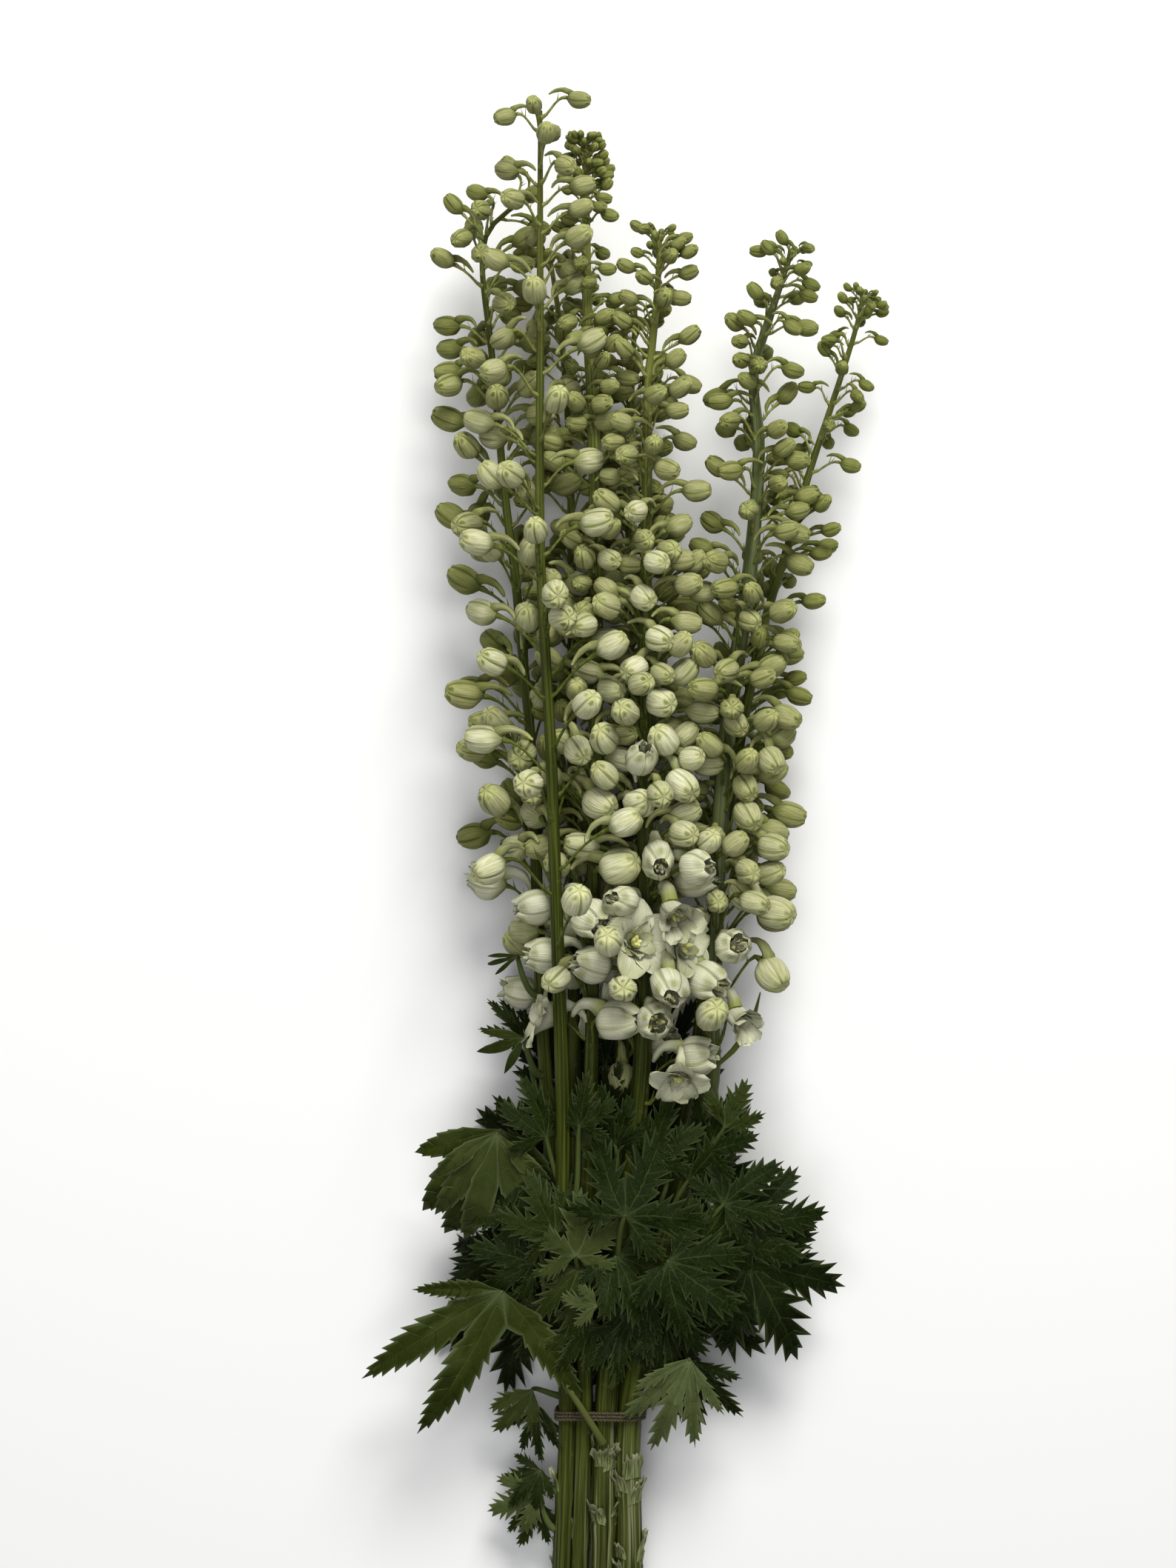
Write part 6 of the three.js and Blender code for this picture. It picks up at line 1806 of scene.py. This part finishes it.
# Smaller leaves fill the bunch between those. Each: the number of its spike, the height of its root,
# its joint, heading, pitch, length, spread, droop and tone.
FILLING_LEAVES = (
    (2, 0.04, (-0.03, 0.08, 0.016), 105, 3, 0.07, 0.9, 10, 0.0),
    (7, 0.04, (-0.008, 0.084, 0.014), 90, 2, 0.076, 0.9, 8, 0.0),
    (8, 0.04, (0.022, 0.086, 0.014), 88, 2, 0.078, 0.9, 8, 0.0),
    (6, 0.04, (0.052, 0.084, 0.016), 75, 3, 0.074, 0.9, 10, 0.0),
    (7, 0.02, (0.006, 0.04, 0.012), 92, 2, 0.062, 0.9, 8, 0.0),
    (8, 0.015, (0.034, 0.04, 0.012), 80, 2, 0.062, 0.9, 8, 0.0),
    (2, 0.12, (-0.03, 0.16, 0.022), 95, 3, 0.062, 0.5, 10, 0.0),
    (7, 0.13, (-0.014, 0.172, 0.02), 85, 3, 0.066, 0.5, 10, 0.0),
    (7, 0.12, (0.002, 0.16, 0.018), 100, 2, 0.07, 0.5, 10, 0.05),
    (8, 0.13, (0.02, 0.176, 0.016), 90, 2, 0.07, 0.5, 10, 0.0),
    (8, 0.12, (0.036, 0.168, 0.02), 78, 3, 0.07, 0.5, 10, 0.0),
    (6, 0.12, (0.052, 0.176, 0.024), 84, 3, 0.066, 0.5, 10, 0.05),
    (7, 0.16, (-0.022, 0.206, 0.022), 95, 3, 0.062, 0.4, 10, 0.1),
    (8, 0.165, (0.008, 0.214, 0.02), 88, 3, 0.06, 0.4, 10, 0.0),
    (8, 0.17, (0.042, 0.214, 0.022), 84, 3, 0.06, 0.4, 10, 0.05),
    (3, 0.15, (0.012, 0.186, 0.06), 82, 12, 0.04, 0.4, 10, 0.15),
    (4, 0.16, (0.046, 0.19, 0.062), 96, 8, 0.042, 0.4, 10, 0.1),
    (2, 0.2, (-0.042, 0.232, 0.04), 128, 5, 0.036, 0.4, 15, 0.2),
    (3, 0.12, (-0.028, 0.176, 0.08), 100, 5, 0.044, 0.7, 30, 0.05),
    (3, 0.104, (-0.034, 0.156, 0.074), 215, -5, 0.05, 0.6, 40, 0.0),
    (1, 0.09, (-0.04, 0.132, 0.072), 190, 0, 0.046, 0.7, 30, 0.1),
    (3, 0.07, (-0.022, 0.118, 0.08), 120, 8, 0.046, 0.8, 25, 0.2),
    (1, 0.06, (-0.036, 0.098, 0.07), 160, 0, 0.044, 0.8, 25, 0.0),
    (1, 0.04, (-0.03, 0.072, 0.066), 250, 0, 0.046, 0.7, 30, 0.05),
    (3, 0.06, (-0.008, 0.096, 0.076), 270, 0, 0.05, 0.7, 25, 0.3),
    (4, 0.06, (0.014, 0.104, 0.08), 300, 0, 0.048, 0.7, 25, 0.0),
    (4, 0.11, (0.036, 0.164, 0.088), 75, 8, 0.046, 0.7, 20, 0.1),
    (4, 0.12, (0.014, 0.172, 0.088), 110, 8, 0.042, 0.6, 15, 0.0),
    (4, 0.08, (0.058, 0.15, 0.084), 50, 0, 0.046, 0.8, 25, 0.05),
    (5, 0.06, (0.066, 0.112, 0.08), 10, 0, 0.052, 0.7, 30, 0.1),
    (5, 0.04, (0.05, 0.08, 0.074), 285, 0, 0.048, 0.7, 30, 0.0),
    (5, 0.07, (0.084, 0.112, 0.072), 345, 0, 0.052, 0.7, 35, 0.15),
    (5, 0.05, (0.078, 0.09, 0.062), 300, 0, 0.056, 0.7, 35, 0.0),
    (6, 0.06, (0.1, 0.11, 0.056), 330, 0, 0.05, 0.7, 30, 0.05),
    (4, 0.02, (0.018, 0.06, 0.066), 265, 0, 0.04, 0.5, 15, 0.0),
    (3, 0.03, (0.0, 0.064, 0.068), 240, 0, 0.042, 0.5, 20, 0.15),
    (5, 0.02, (0.044, 0.058, 0.062), 290, 0, 0.044, 0.5, 25, 0.0),
    (1, 0.13, (-0.008, 0.184, 0.09), 80, 10, 0.036, 0.7, 15, 0.1),
    (5, 0.11, (0.07, 0.168, 0.084), 70, 8, 0.042, 0.8, 20, 0.0),
    (2, 0.06, (-0.052, 0.1, 0.05), 200, 0, 0.05, 0.8, 25, 0.0),
    (5, 0.006, (0.064, 0.036, 0.056), 270, 0, 0.052, 0.5, 30, 0.0),
    (2, -0.012, (-0.034, 0.004, 0.04), 265, 0, 0.036, 0.4, 20, 0.1),
    (1, -0.05, (-0.032, -0.036, 0.036), 225, 0, 0.034, 0.6, 20, 0.2),
    (2, -0.07, (-0.034, -0.058, 0.024), 250, 0, 0.034, 0.5, 20, 0.3),
)
HANGING_LEAF = ("hanging_round", "spike_2", 0.130, (-0.058, 0.180, 0.086), 258, -4, 6, 0.082, 0.40, 42, 5)
LEAF_SCATTER = (35, 20, 30)  # degrees: tipped over sideways, lifted, more droop
skin = Skin()
for number, (on, root, joint, heading, pitch, size, spread, droop, tone) in enumerate(FILLING_LEAVES):
    roll = Dice(FILLING_LEAF_SEED + number)
    pitch += roll(-0.3, 1.0) * LEAF_SCATTER[1]
    tip = roll(-1, 1) * LEAF_SCATTER[0]
    droop += roll() * LEAF_SCATTER[2]
    row = ("filling", f"spike_{on}", root, joint, heading, pitch, tip, size, spread, droop, 5)
    add_leaf(skin, {**dict(zip(LEAF_FIELDS, row)), "tone": tone}, roll)
add_leaf(skin, dict(zip(LEAF_FIELDS, HANGING_LEAF)), Dice(HANGING_SEED))
piece = skin.build("filling_leaves", [BLADE, PETIOLE], SHIFT, weld=True)
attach(piece, "root")


# ---- Twine ----
# A brown two-ply twine, wound three times round the stems and drawn tight, with each turn lying
# against the last.

TIE_GAP = 0.0007  # between the twine and the stems that reach furthest out
TURNS = 3
TURN_POINTS = 180
TURN_PITCH = 0.0021
TURN_SLANT = 0.0009  # how far each turn climbs and sinks on its way round
PLY_RADIUS = 0.0006
PLY_OFF = 0.92  # how far a ply is off the twine's middle, over its radius
PLY_FAT = 1.08  # the plies are pressed into each other by that much
PLY_SIDES = 8
PLY_TURN = 0.0042  # length of twine in which its two plies go once round each other
TWINE_STEP = 0.0011
TWINE_BROWNS = ((0.3, (0.024, 0.019, 0.009)), (0.75, (0.098, 0.082, 0.042)))
TWINE_SURFACE = (0.85, 0.3)
TWINE_PATCHES = (900.0, 3.0)
TWINE_RELIEF = 0.0004


def round_the_stems(angle, y, offset):
    """Where a line drawn tight round the stems runs, in the direction of an angle."""
    out = np.array((math.cos(angle), 0.0, math.sin(angle)))
    furthest = max(SPIKES, key=lambda s: axis_at(s, y) @ out + stem_radius(s, y))
    return axis_at(furthest, y) + out * (stem_radius(furthest, y) + offset), out


def twine_path():
    """Even steps along the twine's middle line: how far on, the points, and the way out at each."""
    points, outs = [], []
    for angle in np.linspace(-math.pi / 2, -math.pi / 2 + TURNS * 2 * math.pi, TURNS * TURN_POINTS):
        wound = (angle + math.pi / 2) / (2 * math.pi) - TURNS / 2
        y = wound * TURN_PITCH + TURN_SLANT * math.cos(angle)
        point, out = round_the_stems(angle, y, TIE_GAP + 2 * PLY_RADIUS)
        points.append(point)
        outs.append(out)
    points, outs = np.array(points), np.array(outs)
    gone = np.concatenate(((0,), np.cumsum(np.linalg.norm(np.diff(points, axis=0), axis=1))))
    steps = np.linspace(0, gone[-1], int(gone[-1] / TWINE_STEP))
    even = [np.interp(steps, gone, points[:, k]) for k in range(3)]
    facing = [np.interp(steps, gone, outs[:, k]) for k in range(3)]
    return steps, np.stack(even, axis=1), np.stack(facing, axis=1)


def twine_material():
    material, tree, shader = new_material("brown_twine", *TWINE_SURFACE)
    strands = clouds(tree, *TWINE_PATCHES)
    link(tree, ramp(tree, strands, *TWINE_BROWNS), shader.inputs["Base Color"])
    add_bump(tree, strands, TWINE_RELIEF, shader)
    return material


steps, middles, facing = twine_path()
ahead = np.gradient(middles, axis=0)
ahead /= np.linalg.norm(ahead, axis=1, keepdims=True)
beside = np.cross(ahead, facing)
beside /= np.linalg.norm(beside, axis=1, keepdims=True)
outward = np.cross(beside, ahead)
turns = (np.arange(PLY_SIDES) * 2 * math.pi / PLY_SIDES)[None, :, None]
ring = np.cos(turns) * outward[:, None] + np.sin(turns) * beside[:, None]
skin = Skin()
for ply in (0, math.pi):
    twist = (steps * 2 * math.pi / PLY_TURN + ply)[:, None]
    centres = middles + PLY_RADIUS * PLY_OFF * (np.cos(twist) * outward + np.sin(twist) * beside)
    skin.tube(centres[:, None] + PLY_RADIUS * PLY_FAT * ring, 0)
twine = skin.build("wound_twine", [twine_material()], SHIFT)
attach(twine, "root")
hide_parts("tie")
